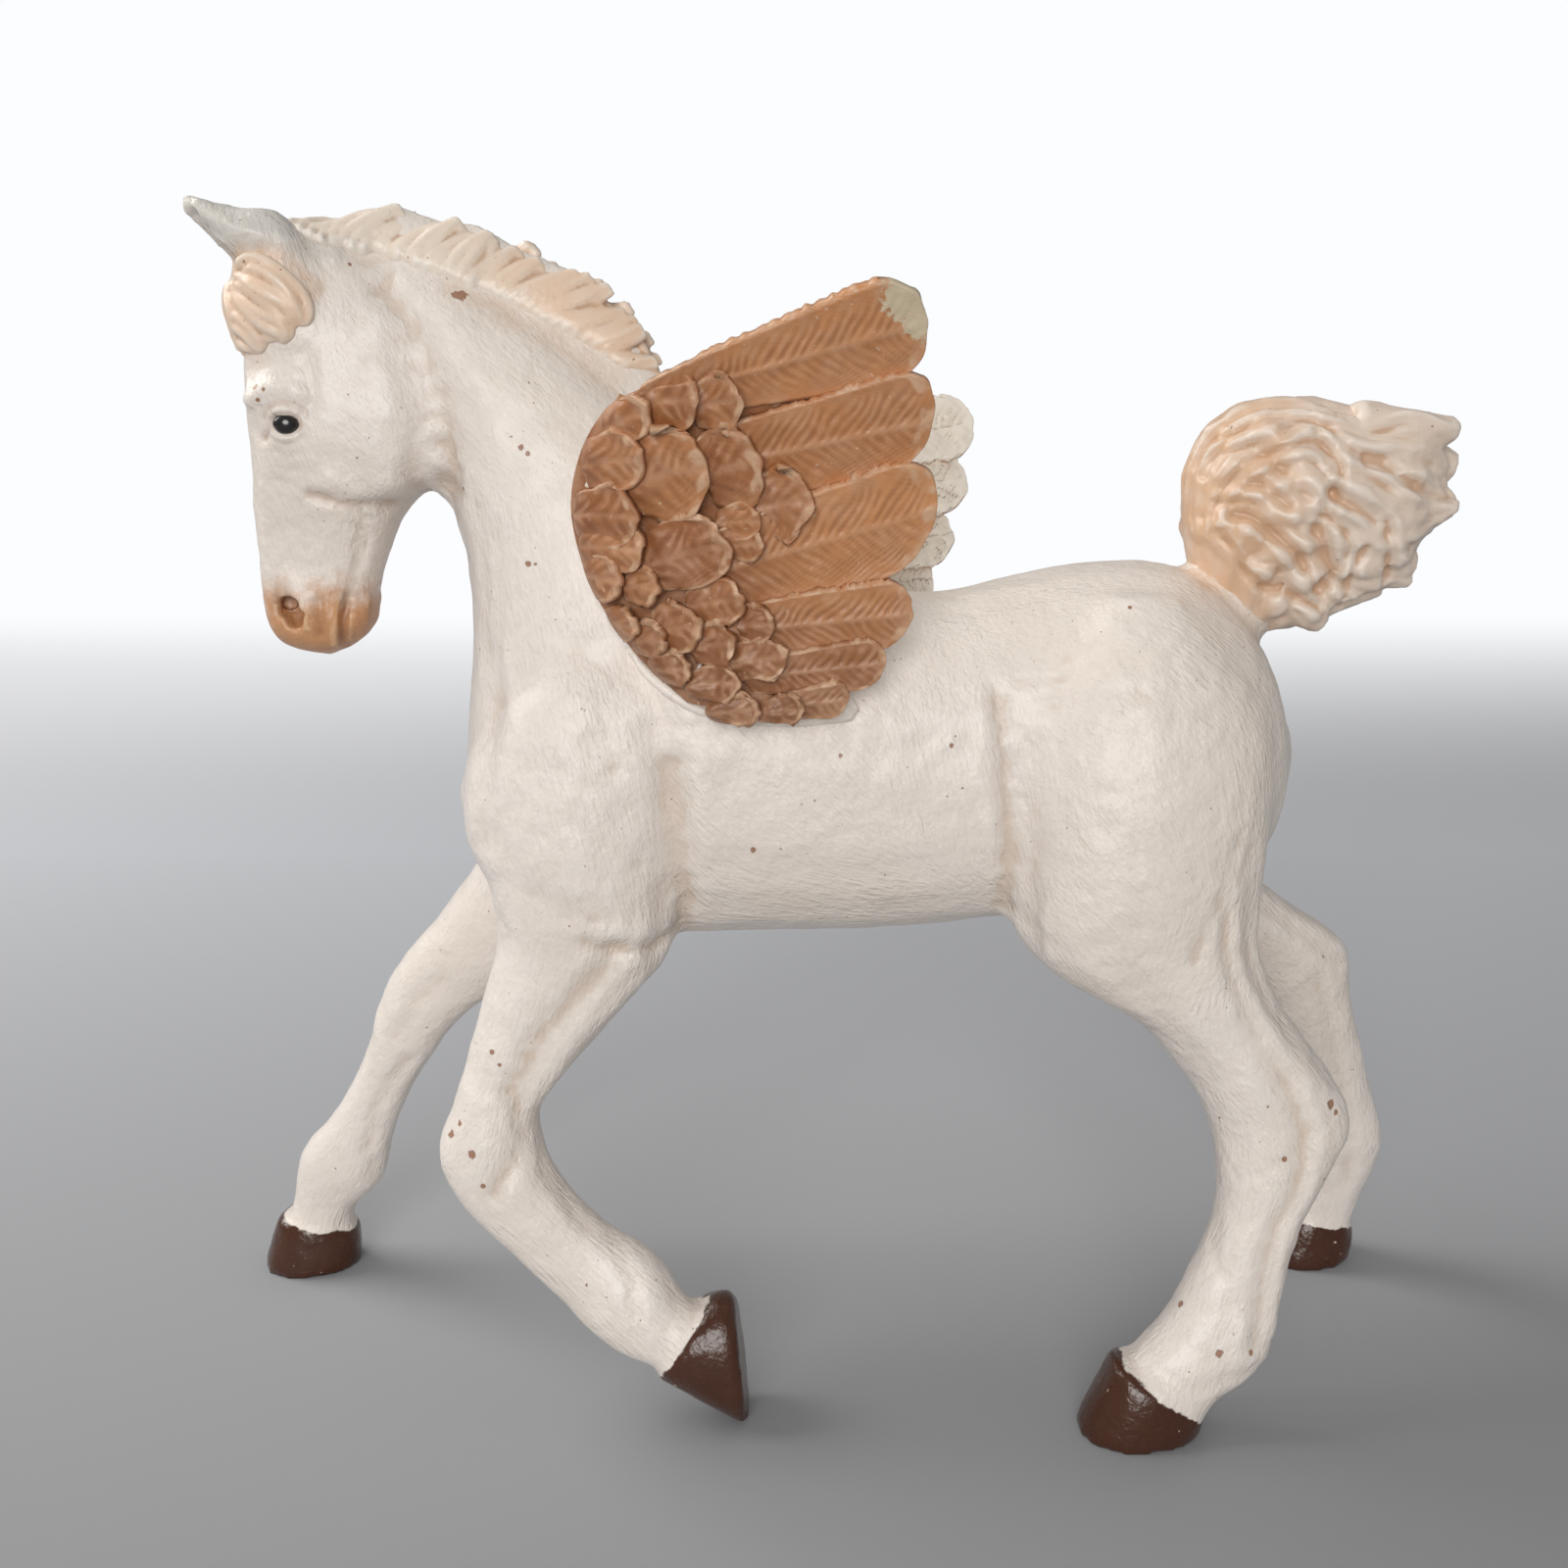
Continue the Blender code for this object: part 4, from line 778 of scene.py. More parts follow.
# %% Carve the tail
TAIL_VOXEL = 0.17 * MM
TAIL_GROW, GROW_FROM = 0.32, 71.5
even_net(tail, TAIL_VOXEL)
points = soften(points_of(tail), edges_of(tail), 12)
set_points(tail, points)
normals = normals_of(tail)
grow = TAIL_GROW * MM * np.clip((drawn(points)[:, 2] - GROW_FROM) / 2.5, 0, 1)
points = points + normals * grow[:, None]
wash_and_shade = np.zeros(len(points))
wander = 0.6 * np.abs(rough(points, 1.6 * MM))
for path, width, depth in TAIL_CARVING:
    carve(flow(path, 24), width, depth)
print(size_of(tail), "with", len(TAIL_CARVING), "strokes")

# %% [markdown]
# The hair flows from the root to the tips. Lines between the drawn ones fill the fan, and
# each point of the tail takes the number of the line nearest to it. A ripple across those
# numbers then runs along the flow. It is strong in some patches and fades at the root and
# in the smooth curl above it, as the real one does.

# %% Ripple the tail along its flow
FLOW_STEPS, FLOW_STOPS = 129, 60
RIPPLE = 0.27
CURL, ROOT = (35.0, 67.5), (31.5, 63.5)
lines = np.array([flow(line, FLOW_STOPS) for line in TAIL_LINES])
steps = np.linspace(0, len(lines) - 1, FLOW_STEPS)
fan = []
for level in steps:
    first = min(int(level), len(lines) - 2)
    fan.extend(lines[first] * (1 - level + first) + lines[first + 1] * (level - first))
spots = drawn(points)
level = np.array([steps[index // FLOW_STOPS] for index, _ in near_line(spots, fan)])
sway = rough(spots, 3.0)
level = soften(level[:, None], edges_of(tail), 3, keep_size=False)[:, 0] + 0.12 * sway
strand = 0.66 * np.sin(level * 6.6 + 3 * sway)
strand += 0.22 * np.sin(level * 14.5 + 5 * sway)
strand += 0.12 * np.sin(level * 33.0)
strand *= np.clip(np.hypot(spots[:, 0] - ROOT[0], spots[:, 2] - ROOT[1]) / 5 - 0.35, 0, 1)
patchy = np.clip(0.6 + 1.1 * rough(spots, 3.1), 0.25, 1.2)
curled = np.clip(1 - np.hypot(spots[:, 0] - CURL[0], spots[:, 2] - CURL[1]) / 4.5, 0, 1)
ripple = strand * patchy * RIPPLE * (1 - 0.8 * curled) * MM
points = soften(points + normals_of(tail) * ripple[:, None], edges_of(tail), 4)
set_points(tail, points)
store(tail, "hollow", hollow_of(tail, 14, 0.11))
finish_piece(tail)
print("The ripple is up to", round(float(ripple.max() / MM), 2), "mm high")

# %% [markdown]
# ## The mane
#
# The real mane stands up along the crest of the neck in short tufts that lean back, from a
# line along each side of the neck to a ragged line on top. Each tuft is four strands that
# start in the skin, swell, and draw together at their tips. The tufts' sizes come from a
# seeded chance, so they're the same each time.

# %% Lay the tufts of the mane
MANE_FOOT = [
    (-33.7, 86.6), (-30.8, 86.0), (-26.0, 84.5), (-21.1, 82.8), (-18.0, 81.2), (-14.2, 79.3),
    (-11.2, 76.6),
]
MANE_TOP = [
    (-33.6, 87.9), (-30.8, 88.4), (-28.0, 89.0), (-26.2, 88.9), (-23.4, 88.3), (-21.3, 87.5),
    (-18.4, 86.6), (-15.0, 85.2), (-12.9, 83.7), (-11.3, 82.2), (-10.2, 80.6), (-8.7, 77.9),
]
MANE_STOPS, TUFTS, TUFT_STRANDS, STRAND_STOPS = 200, 18, 4, 12
foot_line, top_line = flow(MANE_FOOT, MANE_STOPS), flow(MANE_TOP, MANE_STOPS)
chance = np.random.default_rng(11)
strands = []
for tuft in range(TUFTS):
    for side in (-1, 1):
        start = max((tuft + 0.35 * (side > 0) + chance.uniform(-0.3, 0.3)) / TUFTS * 0.96, 0)
        size = chance.uniform(0.75, 1.3) * (0.65 + 0.35 * min(tuft / 4, 1))
        foot = foot_line[int(start * (MANE_STOPS - 1))]
        tip = top_line[int(min(start + 0.045, 1) * (MANE_STOPS - 1))] + (0, chance.uniform(-0.75, 0.45))
        middle = foot * 0.45 + tip * 0.55
        skin_y = on_surface(skin_tree, foot[0], foot[1], side, -0.35)[1]
        for number in range(TUFT_STRANDS):
            spread = 2 * number / (TUFT_STRANDS - 1) - 1
            belly_y, tip_y = side * (1.75 - 0.4 * spread**2), side * (0.75 + 0.15 * chance.random())
            strand = flow([
                (foot[0] + spread * 1.15 + 0.5, skin_y - side * 1.1, foot[1] - spread * 0.5 - 0.4),
                (foot[0] + spread * 1.10, skin_y - side * 0.1, foot[1] - spread * 0.5 + 0.5),
                (middle[0] + spread * 0.95 * size - 0.35, belly_y, middle[1] - spread * 0.45),
                (tip[0] + spread * 0.40, tip_y, tip[1] - abs(spread) * 0.6),
            ], STRAND_STOPS)
            swell = np.interp(np.linspace(0, 1, STRAND_STOPS), [0, 0.4, 0.85, 1], [0.34, 0.52, 0.46, 0.34])
            strands.append(np.column_stack([strand, swell * size]))
print(len(strands), "strands in", 2 * TUFTS, "tufts")

# %% [markdown]
# Upright cords fill the space between the two sides, and everything merges into one piece.
# Near its foot the mane was brushed over with the body's white, so its points keep how
# near they are to the foot line.

# %% Fill and merge the mane
FOOT_FADE = 1.9
for stop in range(0, MANE_STOPS, 4):
    foot, top = foot_line[stop], top_line[stop]
    line = np.linspace((foot[0], 0, foot[1] - 1.5), (top[0], 0, top[1] - 1.15), 8)
    strands.append(np.column_stack([line, np.linspace(1.6, 0.75, 8)]))
mane = lay_hair("mane_hair", strands, 0.18 * MM, times=7)
away = np.array([distance for _, distance in near_line(drawn(points_of(mane)), foot_line)])
store(mane, "foot", np.clip(1 - away / FOOT_FADE, 0, 1))
print("The mane's foot holds", int((away < FOOT_FADE).sum()), "points")

# %% [markdown]
# ## The forelock
#
# The forelock falls from between the ears over the forehead in curled locks. Each lock is a
# few strands that lie on the skin, full in the middle and pointed at their ends.

# %% A lock of hair


def lock(path, side, tree, width, thick, count, lift, chance, samples):
    """Strands that lie side by side on a surface, along a drawn line."""
    line = flow(path, samples)
    along = np.linspace(0, 1, samples)
    way = np.gradient(line, axis=0)
    way /= np.linalg.norm(way, axis=1)[:, None]
    across = np.stack([-way[:, 1], way[:, 0]], axis=1)
    fullness = np.sin(np.pi * np.clip(0.13 + 0.86 * along, 0, 1)) ** 0.75
    strands = []
    for number in range(count):
        aside = 2 * number / (count - 1) - 1 + chance.uniform(-0.12, 0.12)
        wave = 0.07 * width * np.sin(2 * np.pi * (along * chance.uniform(0.8, 1.6) + chance.random()))
        flat_line = line + across * (aside * width / 2 * fullness + wave)[:, None]
        radius = thick * (0.35 + 0.65 * fullness) * chance.uniform(0.85, 1.15)
        crown = lift * (1 - 0.8 * aside**2) * np.sin(np.pi * along) ** 0.5
        seats = np.array([on_surface(tree, x, z, side, high) for (x, z), high in zip(flat_line, crown)])
        seats[1:-1, 1] = (seats[:-2, 1] + 2 * seats[1:-1, 1] + seats[2:, 1]) / 4
        strands.append(np.column_stack([seats, radius]))
    return strands


print("A lock of 4 strands takes", 4 * 18, "places")

# %% Lay the forelock
FORELOCKS = [
    ([(-38.4, 83.9), (-37.1, 84.2), (-35.6, 83.5), (-34.3, 82.5), (-33.8, 81.3), (-34.0, 80.7)], 1.9),
    ([(-38.6, 83.7), (-37.3, 83.2), (-35.8, 82.2), (-34.6, 81.3), (-34.1, 80.7)], 2.0),
    ([(-38.8, 82.7), (-37.5, 81.9), (-36.2, 81.0), (-35.1, 80.2), (-35.1, 79.4)], 2.0),
    ([(-39.2, 81.6), (-38.3, 80.8), (-37.2, 79.7), (-36.5, 79.1)], 1.8),
    ([(-39.3, 83.7), (-39.4, 82.4), (-39.2, 81.1), (-38.9, 79.8), (-38.5, 78.8)], 1.7),
]
chance = np.random.default_rng(5)
strands = []
for side in (-1, 1):
    for path, width in FORELOCKS:
        strands += lock(path, side, skin_tree, width, 0.46, 4, 0.4, chance, 18)
for number in range(5):
    y = (number - 2) * 0.7
    line = flow([
        (-37.4, y * 0.6, 85.6), (-39.2, y, 84.0), (-39.8, y * 1.2, 81.8), (-39.5, y * 0.9, 79.2),
    ], 16)
    swell = np.interp(np.linspace(0, 1, 16), [0, 0.5, 1], [0.6, 0.7, 0.4])
    strands.append(np.column_stack([line, swell]))
forelock = lay_hair("forelock_hair", strands, 0.17 * MM, times=6)

# %% [markdown]
# ## The wings
#
# Each real wing is one casting: a curved plate with long flight feathers behind and rows of
# short covert feathers over it. Here the plate is a thin curved sheet, and every feather is
# a separate thin shell that lies on the same curve, because only real edges and overlaps
# throw the small shadows that show in the photograph.

# %% The wing's curve
WING_FOOT_SIDE, WING_FOOT_HEIGHT = 10.3, 54.0
WING_CAMBER, WING_FLARE = 3.5, 0.009
WING_MIDDLE, WING_FRONT = -4.0, 10.8
PLATE = [
    (-6.7, 55.0, -1.0, 54.3), (-10.1, 58.1, 0.4, 56.7), (-12.6, 61.5, 1.6, 60.0),
    (-14.0, 64.8, 2.2, 64.0), (-14.5, 68.4, 2.8, 67.8), (-13.5, 72.0, 3.4, 71.6),
    (-11.5, 74.7, 3.4, 74.6), (-9.0, 75.9, 2.8, 76.6), (-6.4, 76.2, 1.4, 77.6),
]


def wing_side(x, z):
    """How far the wing's outer face stands from the middle of the foal, in millimetres."""
    before = np.minimum(x - WING_MIDDLE, 0.0) / WING_FRONT
    camber = WING_CAMBER * (1 - before**2) - 0.05 * np.maximum(x - WING_MIDDLE, 0.0)
    return WING_FOOT_SIDE + camber + WING_FLARE * np.maximum(z - WING_FOOT_HEIGHT, 0.0) ** 2


plate_rows = flow(PLATE, 60)
LEAD_X = np.concatenate([[-3.6, -5.4], plate_rows[:, 0]])
LEAD_Z = np.concatenate([[52.8, 54.0], plate_rows[:, 1]])
print("The wing's top stands", round(float(wing_side(5.9, 79.7)), 1), "mm from the middle")

# %% [markdown]
# One flat grid is the master of all flight feathers, and a coarser one that of all coverts.
# A kind of feather is a set of named values: how it stands off the wing, how its outline
# strays, and how deep its quill, barbs, rim and lumps are, all in millimetres or as a share
# of the feather's width.

# %% Masters and kinds of feather


def grid_master(name, columns, rows):
    """A flat grid from -1 to 1, kept as a master mesh."""
    pick()
    bpy.ops.mesh.primitive_grid_add(x_subdivisions=columns, y_subdivisions=rows, size=2.0)
    made = bpy.context.object
    mesh = made.data
    mesh.name = name
    bpy.data.objects.remove(made)
    return mesh


FLIGHT = {
    "grid": grid_master("flight_grid", 150, 30), "thick": 0.75, "lift": -0.22, "rise": 0.3,
    "tilt": 0.32, "dome": 0.12, "flare": 0.3, "widen": 1.2, "bow": 0.0, "ragged": 0.05,
    "waver": 0.05, "barbs apart": 0.75, "barbs deep": 0.12, "barbs inset": 1.2, "quill": 0.10,
    "rim": 0.08, "lumps": 0.14, "specks": 0.05, "pale": 0.55, "at the lead": False,
}
COVERT = {
    "grid": grid_master("covert_grid", 56, 21), "thick": 0.5, "lift": 0.02, "rise": 0.8,
    "tilt": 0.0, "dome": 0.42, "flare": 0.36, "widen": 3.0, "bow": 0.04, "ragged": 0.10,
    "waver": 0.12, "barbs apart": 0.95, "barbs deep": 0.045, "barbs inset": 0.7, "quill": -0.11,
    "rim": 0.15, "lumps": 0.30, "specks": 0.12, "pale": 0.0, "at the lead": True,
}
TOP_FLIGHT = FLIGHT | {"flare": 0.68}
INNER_COVERT = COVERT | {"lift": 0.05, "rise": 0.3, "dome": 0.2}
for kind in (FLIGHT, COVERT):
    print(kind["grid"].name, "has", len(kind["grid"].vertices), "points")

# %% [markdown]
# A feather's outline comes from its root, its tip and its width. It widens from the root,
# has a round tip and a slightly ragged edge, and may be cut off at a slant.

# %% A feather's outline


def lumps_at(x, y, z, size=1.0):
    """Random lumps at these places. A single number stands for the same one everywhere."""
    return rough(np.column_stack(np.broadcast_arrays(x, y, z)), size)


def feather_outline(kind, row, flat):
    """Lays the flat grid between a feather's root and its tip, seen from the side."""
    root_x, root_z, tip_x, tip_z, width, slant = (*row, 0.0)[:6]
    along, across = (flat[:, 0] + 1) / 2, flat[:, 1]
    length = math.hypot(tip_x - root_x, tip_z - root_z)
    way_x, way_z = (tip_x - root_x) / length, (tip_z - root_z) / length
    root_round = np.where(along < 0.12, np.clip(1 - (1 - along / 0.12) ** 2, 0.2, 1), 1.0)
    half = width / 2 * (1 - kind["flare"] * (1 - along) ** kind["widen"]) * np.sqrt(root_round)
    tip_round = 0.5 * width * (1 - np.sqrt(np.clip(1 - 0.985 * across**2, 0, 1)))
    reach = along * (length + slant * across - np.minimum(tip_round, 0.55 * length))
    ragged = kind["ragged"] * width * lumps_at(across * 2.3, tip_x, tip_z) * along**2
    waver = 1 + kind["waver"] * lumps_at(along * 3, root_z, 0)
    offset = half * across * waver + kind["bow"] * width * np.sin(np.pi * along)
    x = root_x + way_x * (reach + ragged) - way_z * offset
    z = root_z + way_z * (reach + ragged) + way_x * offset
    return x, z, along, across, reach, half, length


print("Outlines are ready for grids like", COVERT["grid"].name)

# %% [markdown]
# Barbs are slanting grooves on both sides of the quill, broken up by noise. The rim of each
# feather is a little raised, which is where the light paint catches. The same masks that
# shape the feather are stored on it, so that the paint lies exactly in its relief.

# %% A feather's relief


def feather_relief(kind, row, x, z, along, across, reach, half, length):
    """The height of a feather's face, and where its rim, its barbs and its quill are."""
    root_x, width = row[0], row[4]
    distance = np.abs(across) * half
    wander = lumps_at(reach * 0.5, across, root_x)
    phase = (reach - 0.95 * distance) / kind["barbs apart"] + 0.8 * wander
    quill = np.exp(-((distance / 0.20) ** 2))
    to_tip = np.clip((length - length * along) / (0.28 * width), 0, 1)
    to_side = (1 - np.abs(across)) * half
    uneven = 0.5 + 0.9 * lumps_at(x + 30, z, 0, 0.9)
    inside = np.minimum(np.maximum(to_tip - 0.35, 0) / 0.65, np.clip(to_side / 0.32, 0, 1))
    rim = (1 - inside) * np.clip(uneven + 0.25, 0, 1)
    barb = (0.5 + 0.5 * np.cos(2 * np.pi * phase)) ** 1.6
    barb *= np.clip(to_side / kind["barbs inset"], 0, 1) * np.clip(to_tip * 1.6, 0, 1)
    barb *= (1 - quill) * np.clip(uneven + 0.35, 0.25, 1)
    height = kind["quill"] * quill * (1 - 0.5 * along) - kind["barbs deep"] * barb
    height += kind["rim"] * rim * along
    height += kind["lumps"] * lumps_at(x, z, 0, 1.4) + kind["specks"] * lumps_at(x, z, 9, 0.6)
    return height, {"rim": rim, "barb": barb, "quill": quill, "along": along}


print("Barbs are", FLIGHT["barbs apart"], "mm apart on a flight feather")

# %% [markdown]
# A copy of the master is laid on the wing's curve, tilted and domed, and gets its wall from
# a Solidify modifier. At the wing's leading edge the coverts bend round the plate's edge.
# On the inner face the same feathers lie the other way round.

# %% Lay one feather
LEAD_TUCK, LEAD_REACH, LEAD_SQUEEZE = 0.75, 1.1, 0.12
INNER_DEPTH = 1.5


def feather(kind, row, chance, side, back, inner=False):
    made = bpy.data.objects.new("feather", kind["grid"].copy())
    bpy.context.scene.collection.objects.link(made)
    x, z, along, across, *rest = feather_outline(kind, row, points_of(made))
    height, masks = feather_relief(kind, row, x, z, along, across, *rest)
    stand = kind["lift"] + kind["rise"] * along**1.3 + kind["tilt"] * across - kind["dome"] * across**2
    if kind["at the lead"]:
        edge = np.interp(z, LEAD_Z, LEAD_X)
        stand = stand - LEAD_TUCK * np.clip(1 - (x - edge) / LEAD_REACH, 0, 1) ** 2
        x = np.where(x < edge, edge + LEAD_SQUEEZE * (x - edge), x)
    y = wing_side(x, z) + stand + height
    if inner:
        y = wing_side(x, z) - INNER_DEPTH - stand - height
    set_points(made, (np.column_stack([x + back, side * y, z]) + MOVED) * MM)
    if (side > 0) != inner:
        made.data.flip_normals()
    for name, values in masks.items():
        store(made, name, values)
    store(made, "shade", np.full(len(x), 0.45 * chance.random() + kind["pale"]))
    wall = made.modifiers.new("wall", "SOLIDIFY")
    wall.thickness = kind["thick"] * MM
    wall.offset = -1
    apply_all(made)
    return made


def join_as(name, parts):
    pick(*parts)
    bpy.ops.object.join()
    made = bpy.context.object
    made.name = name
    made.data.name = name
    finish_piece(made)
    print(size_of(made))
    return made


print("One covert takes", len(COVERT["grid"].polygons), "faces, before its wall")

# %% [markdown]
# Each feather is a row of numbers: its root, its tip, its width and sometimes the slant of
# its end. The flight feathers fan out backwards, and the coverts are listed from the lowest
# to the highest of each row, with the row behind first, so that each overlaps the last.

# %% The feathers' places
LEFT_FLIGHT = [
    (-0.7, 54.8, 4.4, 55.3, 2.4, 0.3), (-2.7, 56.8, 6.9, 57.8, 3.4, 0.4),
    (-4.5, 59.9, 8.7, 61.2, 4.7, 0.5), (-6.0, 63.6, 10.0, 68.2, 7.1, 1.2),
    (-6.0, 70.6, 9.6, 73.9, 6.2, 1.2), (-9.8, 74.7, 8.9, 79.7, 5.9, 0.2),
]
RIGHT_FLIGHT = [
    (-0.7, 54.8, 4.2, 55.2, 2.4), (-2.7, 56.3, 6.9, 57.8, 3.6), (-4.0, 60.0, 9.5, 61.4, 4.7),
    (-4.0, 63.0, 11.2, 65.0, 4.7), (-4.4, 67.0, 12.3, 69.6, 5.0), (-6.3, 71.4, 13.0, 74.0, 5.2),
    (-8.0, 74.0, 7.0, 80.0, 5.4),
]
COVERTS = [
    (-2.0, 54.4, 1.3, 54.8, 1.8), (-5.4, 54.4, -1.8, 54.8, 1.9), (-3.7, 57.7, 0.1, 58.5, 2.8),
    (-3.2, 60.4, -0.7, 60.6, 2.3), (-4.2, 65.8, -1.4, 66.0, 2.2), (-1.9, 68.2, 1.7, 68.7, 4.4),
    (-6.3, 58.9, -3.4, 59.3, 2.8), (-6.8, 56.3, -3.1, 56.6, 2.3), (-6.6, 61.6, -2.8, 62.4, 2.8),
    (-4.5, 67.3, -1.6, 67.5, 2.2), (-5.2, 70.1, -1.5, 71.4, 5.2), (-5.9, 74.5, -2.6, 75.1, 3.2),
    (-9.0, 60.0, -5.7, 60.4, 3.4), (-9.4, 57.2, -6.4, 57.5, 2.2), (-9.5, 64.3, -3.7, 66.0, 4.8),
    (-10.3, 69.5, -4.9, 71.1, 5.6), (-9.7, 74.7, -5.4, 75.1, 3.6), (-10.4, 59.2, -8.2, 59.5, 2.3),
    (-10.9, 62.9, -8.5, 63.0, 2.3), (-12.7, 60.3, -10.0, 60.3, 2.3), (-14.0, 63.6, -11.1, 63.3, 3.0),
    (-14.0, 65.6, -9.3, 65.5, 3.2), (-14.3, 67.7, -9.7, 67.6, 3.8), (-13.4, 71.0, -9.2, 71.4, 3.7),
    (-11.8, 73.2, -8.7, 74.4, 2.8),
]
INNER_COVERTS = [
    (-7.0, 60.5, 1.5, 61.0, 5.0), (-9.0, 65.0, 1.0, 66.0, 5.6), (-9.5, 70.0, 0.5, 71.0, 5.6),
    (-8.0, 74.5, 0.0, 75.6, 4.6), (-12.5, 63.0, -5.0, 63.2, 4.6), (-13.4, 68.0, -6.0, 68.6, 5.2),
    (-12.0, 72.6, -5.5, 73.4, 4.6),
]
print(len(LEFT_FLIGHT), "flight feathers and", len(COVERTS), "coverts on a wing")

# %% [markdown]
# The plate under the feathers is a grid with a wall and a rounded edge. The wing's foot is
# an uneven ball that is seated on the foal's shoulder.

# %% The plate and the foot of a wing
PLATE_UNDER, PLATE_THICK, PLATE_ROUND = 0.76, 0.8, 0.35
FOOT_SIZE, FOOT_PLACE = (5.0, 3.0, 3.4), (-4.2, 10.2, 57.6)


def wing_plate(name, side, back):
    pick()
    bpy.ops.mesh.primitive_grid_add(x_subdivisions=40, y_subdivisions=len(plate_rows) - 1, size=2.0)
    made = bpy.context.object
    made.name = name
    flat = points_of(made)
    across = (flat[:, 0] + 1) / 2
    row = plate_rows[np.rint((flat[:, 1] + 1) / 2 * (len(plate_rows) - 1)).astype(int)]
    x = row[:, 0] + (row[:, 2] - row[:, 0]) * across
    z = row[:, 1] + (row[:, 3] - row[:, 1]) * across
    edge = np.minimum(across, 1 - across) * (row[:, 2] - row[:, 0])
    thinner = PLATE_ROUND * np.clip(1 - edge / 0.9, 0, 1) ** 2
    y = wing_side(x, z) - PLATE_UNDER - thinner + 0.1 * lumps_at(x, z, x, 1.5)
    set_points(made, (np.column_stack([x + back, side * y, z]) + MOVED) * MM)
    if side > 0:
        made.data.flip_normals()
    wall = made.modifiers.new("wall", "SOLIDIFY")
    wall.thickness = PLATE_THICK * MM
    wall.offset = -1
    rounded = made.modifiers.new("round", "BEVEL")
    rounded.width = PLATE_ROUND * MM
    rounded.segments = 3
    rounded.limit_method = "ANGLE"
    apply_all(made)
    finish_piece(made)
    return made


def wing_root(name, side, back):
    pick()
    bpy.ops.mesh.primitive_uv_sphere_add(segments=96, ring_count=48, radius=1.0)
    made = bpy.context.object
    made.name = name
    ball = points_of(made)
    lumpy = 1 + 0.05 * rough(ball, 0.35)[:, None]
    x, y, z = FOOT_PLACE
    set_points(made, (ball * lumpy * FOOT_SIZE + (x + back, side * y, z) + MOVED) * MM)
    finish_piece(made)
    return made


print("A plate has", len(plate_rows), "rows")

# %% [markdown]
# The two wings are nearly mirror images. The far one sits a little further back, and only
# its feather tips and its pearl-white inner face show above the foal's back.

# %% Make the wings
SIDES = (("left", -1, 0.0, LEFT_FLIGHT, 3), ("right", 1, 3.0, RIGHT_FLIGHT, 4))
wings = {}
for hand, side, back, flight, seed in SIDES:
    chance = np.random.default_rng(seed)
    name = f"wing_{hand}"
    plate = wing_plate(f"{name}_plate", side, back)
    root = wing_root(f"{name}_root", side, back)
    flights = [feather(FLIGHT, row, chance, side, back) for row in flight[:-1]]
    flights.append(feather(TOP_FLIGHT, flight[-1], chance, side, back))
    flights = join_as(f"{name}_flights", flights)
    coverts = join_as(f"{name}_coverts", [feather(COVERT, row, chance, side, back) for row in COVERTS])
    lining = [feather(INNER_COVERT, row, chance, side, back, inner=True) for row in INNER_COVERTS]
    lining = join_as(f"{name}_lining", lining)
    wings[hand] = {"plate": plate, "root": root, "flights": flights, "coverts": coverts, "lining": lining}
    for piece in wings[hand].values():
        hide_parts(name)
print("Wings made of", sum(len(parts) for parts in wings.values()), "pieces")

# %% [markdown]
# A bead of white paint fills the crevice between each wing's foot and the foal. It is laid
# like a strand of hair, along the line where the two meet.

# %% Fill the crevice under the wings
BEAD = [
    (-10.8, 58.3), (-9.5, 56.6), (-6.8, 54.7), (-4.4, 53.9),
    (-2.0, 53.5), (1.4, 53.5), (3.7, 53.9), (5.0, 54.6),
]
BEAD_STOPS = 50
SWELL_AT, SWELL = [0, 0.2, 0.55, 0.8, 0.92, 1.0], [0.3, 0.4, 0.38, 0.5, 0.95, 0.55]
swell = np.interp(np.linspace(0, 1, BEAD_STOPS), SWELL_AT, SWELL)
line = flow(BEAD, BEAD_STOPS)
swell += 0.07 * lumps_at(line[:, 0], line[:, 1], line[:, 0], 0.9)
beads = []
for hand, side, back, _, _ in SIDES:
    seats = np.array([on_surface(skin_tree, x + back, z, side, 0.05) for x, z in line])
    beads.append(lay_hair(f"glue_bead_{hand}", [np.column_stack([seats, swell])], 0.16 * MM))

# %% [markdown]
# ## Paint
#
# The real figurine was sprayed, washed with thin brown and picked out by brush. Each
# material builds that up in the same order, as one colour mixed over another by a mask.
# Small helpers add a node with its values and join two sockets.

# %% Helpers for nodes


def feed(tree, socket, value):
    """Links another node's output to the socket, or sets a plain value on it."""
    if isinstance(value, bpy.types.NodeSocket):
        tree.links.new(value, socket)
    else:
        socket.default_value = value


def add(tree, kind, inputs=None, **settings):
    made = tree.nodes.new(kind)
    for key, value in settings.items():
        setattr(made, key, value)
    for key, value in (inputs or {}).items():
        feed(tree, made.inputs[key], value)
    return made


def math_of(tree, operation, first, second=0.0, third=0.0):
    return add(tree, "ShaderNodeMath", {0: first, 1: second, 2: third}, operation=operation).outputs[0]


def times(tree, first, second):
    return math_of(tree, "MULTIPLY", first, second)


def swayed(tree, base, pattern, amount):
    """The base value, moved up and down by a pattern that lies around a half."""
    return math_of(tree, "MULTIPLY_ADD", math_of(tree, "SUBTRACT", pattern, 0.5), amount, base)


def ramp(tree, value, low, high, out_low=0.0, out_high=1.0, smooth=True):
    made = add(tree, "ShaderNodeMapRange", {
        "Value": value, "From Min": low, "From Max": high, "To Min": out_low, "To Max": out_high})
    made.interpolation_type = "SMOOTHSTEP" if smooth else "LINEAR"
    return made.outputs[0]


